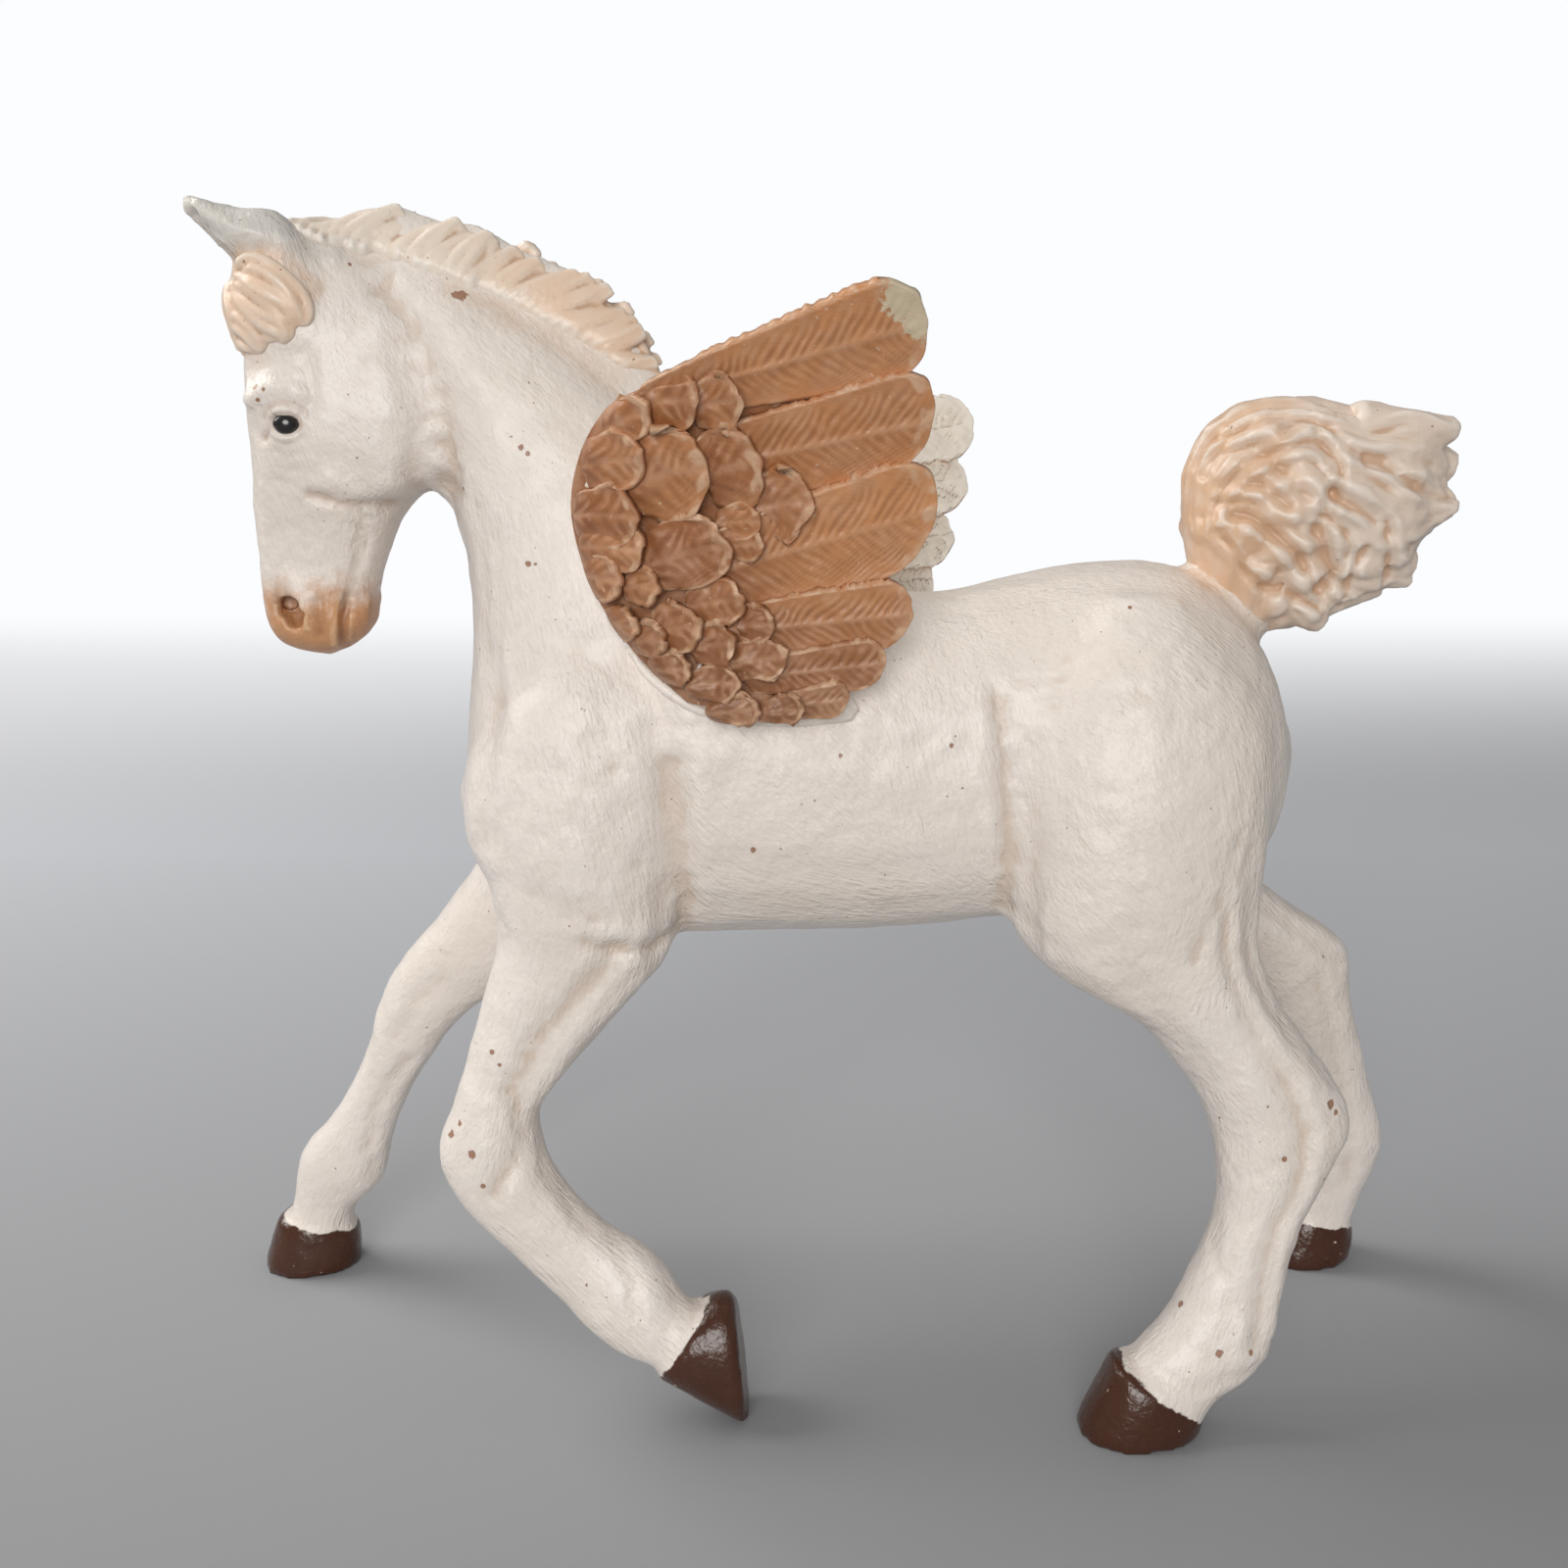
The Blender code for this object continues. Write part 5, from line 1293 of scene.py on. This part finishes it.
def mix(tree, share, first, second):
    """The first colour, with this share of the second one over it."""
    made = add(tree, "ShaderNodeMix", {0: share}, data_type="RGBA")
    for key, colour in ((6, first), (7, second)):
        feed(tree, made.inputs[key], (*colour, 1.0) if isinstance(colour, tuple) else colour)
    return made.outputs[2]


print("Node helpers are ready")

# %% [markdown]
# Every pattern is worked out in the piece's own coordinates, so it stays on the piece. The
# marks that were stored on the points are read by name.

# %% Helpers for patterns, groups and materials
FLOAT, VECTOR = "NodeSocketFloat", "NodeSocketVector"
COAT_ROUGHNESS = 0.22


def number(tree, name):
    return add(tree, "ShaderNodeAttribute", attribute_name=name).outputs["Fac"]


def where(tree):
    return add(tree, "ShaderNodeTexCoord").outputs["Object"]


def cloud(tree, spot, size_mm, detail=3.0, roughness=0.6, warp=0.0):
    """A noise pattern with lumps of this size."""
    return add(tree, "ShaderNodeTexNoise", {
        "Vector": spot, "Scale": 1 / (size_mm * MM), "Detail": detail, "Roughness": roughness,
        "Distortion": warp}).outputs["Fac"]


def new_group(name, inputs, outputs):
    group = bpy.data.node_groups.new(name, "ShaderNodeTree")
    for label, kind, value in inputs:
        socket = group.interface.new_socket(label, in_out="INPUT", socket_type=kind)
        socket.default_value = value
    for label in outputs:
        group.interface.new_socket(label, in_out="OUTPUT", socket_type="NodeSocketFloat")
    return group, group.nodes.new("NodeGroupInput").outputs, group.nodes.new("NodeGroupOutput").inputs


def use(tree, group, **inputs):
    made = add(tree, "ShaderNodeGroup", node_tree=group)
    for key, value in inputs.items():
        feed(tree, made.inputs[key.replace("_", " ")], value)
    return made.outputs


def painted(name, roughness, coat=0.0):
    material = bpy.data.materials.new(name)
    material.use_nodes = True
    shader = material.node_tree.nodes["Principled BSDF"]
    shader.inputs["Roughness"].default_value = roughness
    shader.inputs["Coat Weight"].default_value = coat
    shader.inputs["Coat Roughness"].default_value = COAT_ROUGHNESS
    return material, material.node_tree, shader


def put_on(tree, shader, colour, height, depth_mm, strength=1.0):
    """Joins the finished colour to the shader, and the height as a bump this deep."""
    tree.links.new(colour, shader.inputs["Base Color"])
    bump = add(tree, "ShaderNodeBump", {"Height": height, "Strength": strength, "Distance": depth_mm * MM})
    tree.links.new(bump.outputs[0], shader.inputs["Normal"])


def wear(piece, *materials):
    piece.data.materials.clear()
    for material in materials:
        piece.data.materials.append(material)


print("Material helpers are ready")

# %% [markdown]
# The first effect is the coat: fine engraved strokes that follow the lie of the hair. The
# group has one stretched noise for each of six directions, and the skin's attributes say
# how much of each shows at a point.

# %% Effect: strokes of the coat
coat_group, told, given = new_group("coat_strokes", [
    ("Length mm", FLOAT, 1.7), ("Width mm", FLOAT, 0.28)], ["Height"])
tree = coat_group
spot = where(tree)
long_way, short_way = times(tree, told["Length mm"], MM), times(tree, told["Width mm"], MM)
size = add(tree, "ShaderNodeCombineXYZ", {0: long_way, 1: short_way, 2: short_way}).outputs[0]
total = None
for index, angle in enumerate(FUR_TURNS):
    turned = add(tree, "ShaderNodeMapping", {
        "Vector": spot, "Rotation": (0, math.radians(-angle), 0), "Scale": size}, vector_type="TEXTURE")
    strokes = add(tree, "ShaderNodeTexNoise", {
        "Vector": turned.outputs[0], "Scale": 1.0, "Detail": 2.0, "Roughness": 0.55, "Distortion": 0.25})
    centred = math_of(tree, "SUBTRACT", strokes.outputs["Fac"], 0.5)
    part = times(tree, centred, number(tree, f"fur_{index}"))
    total = part if total is None else math_of(tree, "ADD", total, part)
tree.links.new(math_of(tree, "ADD", total, 0.5), given["Height"])
print("Strokes in", len(FUR_TURNS), "directions")

# %% [markdown]
# The second effect is a paint chip: a small spot with a ragged edge where the paint is
# gone. Its distance from the spot's centre is bent by a fine noise and then cut off.

# %% Effect: chips
chip_group, told, given = new_group("paint_chip", [
    ("Centre", VECTOR, (0, 0, 0)), ("Radius mm", FLOAT, 0.5), ("Ragged", FLOAT, 0.5)], ["Mask"])
tree = chip_group
away = add(tree, "ShaderNodeVectorMath", {0: where(tree), 1: told["Centre"]}, operation="DISTANCE")
ragged = math_of(tree, "SUBTRACT", cloud(tree, where(tree), 0.45), 0.5)
radius = times(tree, told["Radius mm"], MM)
bent = math_of(tree, "MULTIPLY_ADD", times(tree, ragged, told["Ragged"]), times(tree, radius, 5.0),
               away.outputs["Value"])
tree.links.new(ramp(tree, math_of(tree, "DIVIDE", bent, radius), 1.1, 0.9), given["Mask"])
print("A chip takes", len(tree.nodes), "nodes")

# %% [markdown]
# The third effect is handling wear, which every painted piece shows: scattered tiny specks,
# soft grubby patches and the fine grain of the paint.

# %% Effect: handling wear
handling_group, told, given = new_group("handling_wear", [
    ("Amount", FLOAT, 0.5)], ["Specks", "Grime", "Grain"])
tree = handling_group
spot = where(tree)
specks = cloud(tree, spot, 0.42, 1.0, 0.5)
patches = cloud(tree, spot, 11.0, 3.0, 0.6)
rare = math_of(tree, "MULTIPLY_ADD", told["Amount"], -0.10, 0.86)
thick_specks = math_of(tree, "MULTIPLY_ADD", patches, 0.12, specks)
tree.links.new(ramp(tree, thick_specks, rare, math_of(tree, "ADD", rare, 0.02)), given["Specks"])
tree.links.new(ramp(tree, patches, 0.35, 0.7), given["Grime"])
tree.links.new(cloud(tree, spot, 0.16, 2.0, 0.6), given["Grain"])
print("Groups:", [group.name for group in bpy.data.node_groups])

# %% [markdown]
# ### The foal's coat
#
# The body is pearl white with a blush of pink. A thin brown wash and painted shade darken
# the engraved strokes, the hollows and the creases, while dry brush and painted highlight
# make the ridges pale.

# %% Pearl coat: white paint, brown wash and painted shade
WASH_AND_SHADE, PALE_RIDGE, FRECKLE = (0.35, 0.19, 0.11), (0.91, 0.85, 0.79), (0.33, 0.15, 0.075)
pearl_coat, tree, shader = painted("pearl_coat", 0.40, 0.28)
handling = use(tree, handling_group, Amount=0.12)
hollow, washed_and_shaded = number(tree, "hollow"), number(tree, "wash_and_shade")
tone = cloud(tree, where(tree), 16.0, 3.0, 0.55)
colour = mix(tree, ramp(tree, tone, 0.35, 0.65), (0.84, 0.755, 0.680), (0.87, 0.795, 0.735))
strokes = use(tree, coat_group)["Height"]
# Brown wash and painted shade in the low parts of the engraved strokes
colour = mix(tree, ramp(tree, strokes, 0.36, 0.58, 0.09, 0.0), colour, (0.60, 0.46, 0.34))
# Brown wash and painted shade in the hollows, then dry brush and painted highlight on the ridges
colour = mix(tree, ramp(tree, hollow, 0.08, 0.9, 0.0, 0.42), colour, (0.60, 0.45, 0.33))
colour = mix(tree, ramp(tree, hollow, -0.25, -0.9, 0.0, 0.45), colour, PALE_RIDGE)
# Brown wash and painted shade in the carved creases, in uneven patches
wash_and_shade_share = times(tree, washed_and_shaded, ramp(tree, cloud(tree, where(tree), 1.1), 0.25, 0.6, 0.55, 1.0))
colour = mix(tree, times(tree, wash_and_shade_share, 0.8), colour, WASH_AND_SHADE)
print("White paint and wash take", len(tree.nodes), "nodes")

# %% [markdown]
# The ears are greyer. The muzzle is rubbed with ochre that fades out upwards with a ragged
# edge, paler on its ridges with dry brush and painted highlight and darker in its nostril
# and mouth with brown wash and painted shade, and hair colour has strayed on to the skin
# beside the mane, forelock and tail.

# %% Pearl coat: ears, muzzle and strayed colour
ear_grey = times(tree, number(tree, "ear"), ramp(tree, hollow, -0.9, 0.3, 0.55, 1.0))
colour = mix(tree, times(tree, ear_grey, 0.8), colour, (0.60, 0.59, 0.55))
ochre_edge = swayed(tree, number(tree, "muzzle"), cloud(tree, where(tree), 1.6, 4.0, 0.65), 5.0)
ochre = ramp(tree, ochre_edge, -1.2, 2.4)
ochre_highlight_and_shade = mix(tree, cloud(tree, where(tree), 1.0, 4.0), (0.68, 0.30, 0.085), (0.42, 0.18, 0.07))
# Dry brush and painted highlight on the muzzle's ridges
ochre_highlight_and_shade = mix(tree, ramp(tree, hollow, -0.3, -0.9, 0.0, 0.6), ochre_highlight_and_shade, (0.80, 0.50, 0.26))
# Brown wash and painted shade in the nostril and the mouth
ochre_highlight_and_shade = mix(tree, times(tree, washed_and_shaded, 0.9), ochre_highlight_and_shade, (0.22, 0.072, 0.022))
colour = mix(tree, times(tree, ochre, 0.9), colour, ochre_highlight_and_shade)
patches = ramp(tree, cloud(tree, where(tree), 1.4), 0.3, 0.65, 0.3, 1.0)
colour = mix(tree, times(tree, number(tree, "blush"), patches), colour, (0.70, 0.45, 0.28))
print("With ears and muzzle,", len(tree.nodes), "nodes")

# %% [markdown]
# The near side has some two dozen brown spots where the paint was knocked off. Each is
# given ahead and up, with its radius, and a ray cast finds its place on the skin.

# %% Pearl coat: chips
CHIPS = [
    (-23.0, 82.8, 0.50), (-30.7, 84.9, 0.16), (-18.5, 72.2, 0.22), (-18.0, 71.8, 0.18),
    (-18.0, 64.2, 0.18), (-17.5, 64.2, 0.14), (-23.0, 69.3, 0.16), (11.8, 51.7, 0.14),
    (4.0, 51.0, 0.14), (-2.2, 44.2, 0.2), (24.4, 61.2, 0.16), (-24.6, 22.6, 0.32),
    (-23.9, 23.5, 0.2), (-22.9, 21.5, 0.3), (-22.1, 19.1, 0.18), (-21.4, 29.0, 0.2),
    (-20.8, 28.1, 0.16), (-37.3, 76.4, 0.2), (-37.1, 75.5, 0.14), (-36.6, 76.2, 0.14),
    (39.7, 25.6, 0.35), (40.1, 25.0, 0.2), (36.2, 21.9, 0.18), (29.4, 10.1, 0.22),
    (31.9, 7.4, 0.3), (34.3, 7.2, 0.22),
]
chips = handling["Specks"]
for x, z, radius in CHIPS:
    found = skin_tree.ray_cast(Vector(place(x, -30, z)), Vector((0, 1, 0)))[0]
    if found:
        one = use(tree, chip_group, Centre=tuple(found), Radius_mm=radius, Ragged=0.45)["Mask"]
        chips = math_of(tree, "MAXIMUM", chips, one)
colour = mix(tree, times(tree, chips, 0.9), colour, FRECKLE)
print("With", len(CHIPS), "chips,", len(tree.nodes), "nodes")

# %% [markdown]
# The hooves are glossy chocolate with a wavy upper edge, and a few chips show the pale
# plastic under it. The coat is satin, with the engraved strokes as its relief.

# %% Pearl coat: hooves, sheen and relief
wavy_edge = swayed(tree, number(tree, "hoof"), cloud(tree, where(tree), 1.7, 3.0, 0.6), 1.1)
horn = ramp(tree, wavy_edge, -0.08, 0.08)
chipped = ramp(tree, cloud(tree, where(tree), 0.9, 2.0), 0.715, 0.735)
horn_colour = mix(tree, cloud(tree, where(tree), 3.0, 4.0, 0.6), (0.045, 0.011, 0.003), (0.078, 0.024, 0.008))
horn_colour = mix(tree, chipped, horn_colour, (0.50, 0.36, 0.27))
colour = mix(tree, horn, colour, horn_colour)
satin = ramp(tree, horn, 0.0, 1.0, 0.42, 0.24, smooth=False)
tree.links.new(swayed(tree, satin, handling["Grain"], 0.22), shader.inputs["Roughness"])
patchy = ramp(tree, cloud(tree, where(tree), 5.0, 2.0), 0.35, 0.65, 0.5, 1.0)
height = times(tree, strokes, times(tree, patchy, ramp(tree, horn, 0.0, 1.0, 1.0, 0.12)))
height = math_of(tree, "MULTIPLY_ADD", cloud(tree, where(tree), 0.9, 2.0), 0.75, height)
height = math_of(tree, "MULTIPLY_ADD", handling["Grain"], 0.08, height)
height = math_of(tree, "MULTIPLY_ADD", horn, 0.25, height)
height = math_of(tree, "MULTIPLY_ADD", chips, -0.25, height)
put_on(tree, shader, colour, height, 0.19)
wear(skin, pearl_coat)
print("Coat with", len(tree.nodes), "nodes")

# %% [markdown]
# ### Eyes
#
# The eyes are glossy black, nearly even, so their paint is one dark colour under a clear
# coat. Their highlight comes from the lamps alone.

# %% Material: eyes
eye_black, tree, shader = painted("eye_black", 0.12, 0.6)
dark = mix(tree, cloud(tree, where(tree), 0.4), (0.006, 0.005, 0.006), (0.014, 0.011, 0.010))
tree.links.new(dark, shader.inputs["Base Color"])
for eye in eyes:
    wear(eye, eye_black)
print(len(eyes), "eyes painted")

# %% [markdown]
# ### Hair
#
# The hair is peach, with brown wash and painted shade in its grooves and pearl dry brush
# and painted highlight on its ridges, and the tail turns from orange near the root to
# grey-pink at its tips. One function makes all three paints.

# %% Material: painted hair


def hair_paint(name, root_colour, tip_colour, from_x, to_x, groove, ridge):
    material, tree, shader = painted(name, 0.40, 0.2)
    spot = where(tree)
    ahead = add(tree, "ShaderNodeSeparateXYZ", {0: spot}).outputs[0]
    to_tip = ramp(tree, swayed(tree, ahead, cloud(tree, spot, 6.0, 3.0), 0.012), from_x, to_x)
    colour = mix(tree, to_tip, root_colour, tip_colour)
    pale = ramp(tree, cloud(tree, spot, 2.6, 3.0), 0.40, 0.70, 0.0, 0.5)
    colour = mix(tree, pale, colour, (0.80, 0.68, 0.58))
    hollow = number(tree, "hollow")
    overpaint = swayed(tree, number(tree, "foot"), cloud(tree, spot, 1.5, 3.0), 1.2)
    colour = mix(tree, ramp(tree, overpaint, 0.35, 0.95, 0.0, 0.75), colour, (0.84, 0.77, 0.70))
    # Brown wash and painted shade in the grooves, then dry brush and painted highlight on the ridges
    colour = mix(tree, ramp(tree, hollow, 0.1, 0.95, 0.0, 0.7), colour, groove)
    colour = mix(tree, ramp(tree, hollow, -0.3, -1.0, 0.0, 0.45), colour, ridge)
    handling = use(tree, handling_group, Amount=0.3)
    colour = mix(tree, times(tree, handling["Specks"], 0.8), colour, FRECKLE)
    grain = math_of(tree, "ADD", cloud(tree, spot, 0.5, 2.0), times(tree, handling["Grain"], 0.3))
    put_on(tree, shader, colour, grain, 0.06, 0.5)
    return material


PEACH, GREY_PINK = (0.83, 0.61, 0.45), (0.79, 0.65, 0.54)
HAIR_PAINTS = (
    (tail, "tail_paint", (0.70, 0.46, 0.30), GREY_PINK, 0.029, 0.039, (0.55, 0.32, 0.18), (0.90, 0.82, 0.74)),
    (mane, "mane_paint", (0.86, 0.74, 0.62), PEACH, -0.030, -0.018, (0.50, 0.29, 0.16), (0.92, 0.86, 0.78)),
    (forelock, "forelock_paint", PEACH, PEACH, -0.05, -0.03, (0.48, 0.27, 0.15), (0.90, 0.82, 0.72)),
)
for piece, *recipe in HAIR_PAINTS:
    wear(piece, hair_paint(*recipe))
print(len(HAIR_PAINTS), "hair paints")

# %% [markdown]
# ### Feathers
#
# The outside of a wing is brown. A dark wash and painted shade darken its grooves, painted
# shade darkens its lower part towards the foot and each feather's root where it lies under
# the next, and dry brush and painted highlight lighten its raised rims, barbs and quill. The
# tip of the top feather is worn to the plastic. The inside is pearl white.

# %% The brown face of a feather


def brown_face(tree, spot, rim, barb, quill, shade):
    height = add(tree, "ShaderNodeSeparateXYZ", {0: spot}).outputs[2]
    colour = mix(tree, shade, (0.37, 0.140, 0.050), (0.68, 0.31, 0.13))
    # Painted shade: the wing is darker lower down, towards its foot
    colour = mix(tree, ramp(tree, height, 0.068, 0.053, 0.0, 0.72), colour, (0.20, 0.085, 0.04))
    lighter = ramp(tree, cloud(tree, spot, 3.2, 4.0), 0.42, 0.68, 0.0, 0.5)
    colour = mix(tree, lighter, colour, (0.56, 0.30, 0.17))
    # Painted shadow at each feather's root, where it lies under the next feather
    tucked_shadow = ramp(tree, number(tree, "along"), 0.55, 0.1, 0.0, 0.45)
    colour = mix(tree, tucked_shadow, colour, (0.22, 0.08, 0.032))
    # Dark wash and painted shade in the barb grooves
    colour = mix(tree, times(tree, barb, 0.42), colour, (0.19, 0.065, 0.025))
    # Dry brush and painted highlight on the raised barbs, the rims and the quill
    patches = ramp(tree, cloud(tree, spot, 1.4, 3.0), 0.42, 0.62, 0.0, 0.4)
    colour = mix(tree, times(tree, ramp(tree, barb, 0.45, 0.0), patches), colour, (0.62, 0.36, 0.22))
    patches = ramp(tree, cloud(tree, spot, 1.1, 3.0), 0.35, 0.6, 0.15, 0.95)
    colour = mix(tree, times(tree, ramp(tree, rim, 0.45, 0.85), patches), colour, (0.68, 0.43, 0.27))
    colour = mix(tree, times(tree, quill, 0.3), colour, (0.58, 0.33, 0.2))
    tip = use(tree, chip_group, Centre=place(7.6, -19.9, 81.2), Radius_mm=1.6, Ragged=0.30)["Mask"]
    corner = use(tree, chip_group, Centre=place(8.4, -19.6, 79.6), Radius_mm=1.2, Ragged=0.30)["Mask"]
    worn = math_of(tree, "MAXIMUM", tip, corner)
    return mix(tree, times(tree, worn, 0.85), colour, (0.66, 0.58, 0.42))


def pearl_face(tree, spot, rim, barb, quill, shade):
    colour = mix(tree, shade, (0.84, 0.76, 0.65), (0.88, 0.81, 0.72))
    # Wash and painted shade in the barb grooves, then dry brush and painted highlight on the rims
    colour = mix(tree, times(tree, barb, 0.3), colour, (0.60, 0.46, 0.31))
    return mix(tree, times(tree, rim, 0.35), colour, (0.90, 0.85, 0.76))


def feather_paint(name, face):
    material, tree, shader = painted(name, 0.47, 0.12)
    spot = where(tree)
    colour = face(tree, spot, *(number(tree, key) for key in ("rim", "barb", "quill", "shade")))
    handling = use(tree, handling_group, Amount=0.35)
    colour = mix(tree, times(tree, handling["Specks"], 0.5), colour, (0.75, 0.6, 0.48))
    grain = math_of(tree, "ADD", cloud(tree, spot, 0.35, 2.0), times(tree, handling["Grain"], 0.5))
    put_on(tree, shader, colour, grain, 0.06, 0.45)
    return material


brown_feather = feather_paint("brown_feather", brown_face)
pearl_feather = feather_paint("pearl_feather", pearl_face)
print("Feathers are", brown_feather.name, "outside and", pearl_feather.name, "inside")

# %% [markdown]
# Faces that look outwards get the brown and those that look inwards the pearl. Coverts are
# brown all over and the lining is pearl all over, so that no edge shows the wrong colour.
# The wing's foot and the glue bead are painted with the coat, without hooves or muzzle.

# %% Paint the wings and the beads
INWARD = -0.25
for hand, side, _, _, _ in SIDES:
    for part in ("plate", "flights", "coverts", "lining"):
        piece = wings[hand][part]
        wear(piece, brown_feather, pearl_feather)
        facing = triples(piece.data.polygons, "normal")
        inward = facing[:, 1] * side < INWARD
        if part in ("coverts", "lining"):
            inward[:] = part == "lining"
        piece.data.polygons.foreach_set("material_index", inward.astype(np.int32))
for piece in (wings["left"]["root"], wings["right"]["root"], *beads):
    wear(piece, pearl_coat)
    for name in ("hoof", "muzzle"):
        store(piece, name, np.full(len(piece.data.vertices), UNMARKED))
print("Feathers painted on both sides")

# %% [markdown]
# ## The stage
#
# The figurine stands on a pale matt table that runs back to a white wall of light. The
# table is painted darker near the camera and paler with distance, as painted shade and light
# for how the lamps fall on it, and beyond half a metre it fades into the background, where
# the camera sees plain white.

# %% The table
BACKGROUND = (0.97, 0.98, 1.0, 1.0)
pick()
bpy.ops.mesh.primitive_plane_add(size=8.0, location=(0, 1.5, 0))
floor = bpy.context.object
floor.name = "table_top"
bpy.ops.object.transform_apply(location=True)
table_paint, tree, shader = painted("table_paint", 0.75)
away = add(tree, "ShaderNodeSeparateXYZ", {0: where(tree)}).outputs[1]
# Painted shade near the camera and painted light further back, for the light's fall-off
near_share = ramp(tree, away, -0.07, 0.16, smooth=False)
colour = mix(tree, near_share, (0.285, 0.290, 0.296), (0.62, 0.635, 0.675))
colour = mix(tree, ramp(tree, away, 0.14, 0.42), colour, (0.90, 0.915, 0.95))
tree.links.new(colour, shader.inputs["Base Color"])
seen = add(tree, "ShaderNodeLightPath").outputs["Is Camera Ray"]
white = add(tree, "ShaderNodeEmission", {"Color": BACKGROUND, "Strength": 1.0})
fade = times(tree, ramp(tree, away, 0.20, 0.60), seen)
both = add(tree, "ShaderNodeMixShader", {0: fade, 1: shader.outputs[0], 2: white.outputs[0]})
tree.links.new(both.outputs[0], tree.nodes["Material Output"].inputs["Surface"])
wear(floor, table_paint)
print("The table is", round(floor.dimensions.x), "m wide")

# %% [markdown]
# The room's light comes from all sides, softly. The camera sees plain white behind the
# table, but the foal is lit by the dimmer room colour.

# %% The room
ROOM_COLOUR, ROOM_LIGHT = (1.0, 0.99, 0.975, 1.0), 0.29
world = bpy.data.worlds.new("soft_room")
bpy.context.scene.world = world
world.use_nodes = True
tree = world.node_tree
room = tree.nodes["Background"]
room.inputs["Color"].default_value = ROOM_COLOUR
room.inputs["Strength"].default_value = ROOM_LIGHT
seen_white = add(tree, "ShaderNodeBackground", {"Color": BACKGROUND, "Strength": 1.0})
seen = add(tree, "ShaderNodeLightPath").outputs["Is Camera Ray"]
both = add(tree, "ShaderNodeMixShader", {0: seen, 1: room.outputs[0], 2: seen_white.outputs[0]})
tree.links.new(both.outputs[0], tree.nodes["World Output"].inputs["Surface"])
print("The room's light is", ROOM_LIGHT)

# %% [markdown]
# A broad lamp in front lights the near side evenly. Another stands high in front of the
# foal's chest and behind it, and gives the back, the chest and the tail their bright edges.

# %% Lamps
LAMP_TARGET = (0, 0, 0.05)


def soft_lamp(name, spot, size, power, colour):
    bpy.ops.object.light_add(type="AREA", location=spot)
    lamp = bpy.context.object
    lamp.name = name
    lamp.data.shape = "DISK"
    lamp.data.size = size
    lamp.data.energy = power
    lamp.data.color = colour
    lamp.rotation_euler = (Vector(LAMP_TARGET) - Vector(spot)).to_track_quat("-Z", "Y").to_euler()


soft_lamp("front_window", (-0.10, -0.70, 0.24), 0.45, 3.1, (1.0, 0.99, 0.97))
soft_lamp("side_window", (-0.40, 0.10, 0.40), 0.40, 1.8, (1.0, 0.985, 0.96))
bpy.context.scene.view_settings.view_transform = "Standard"
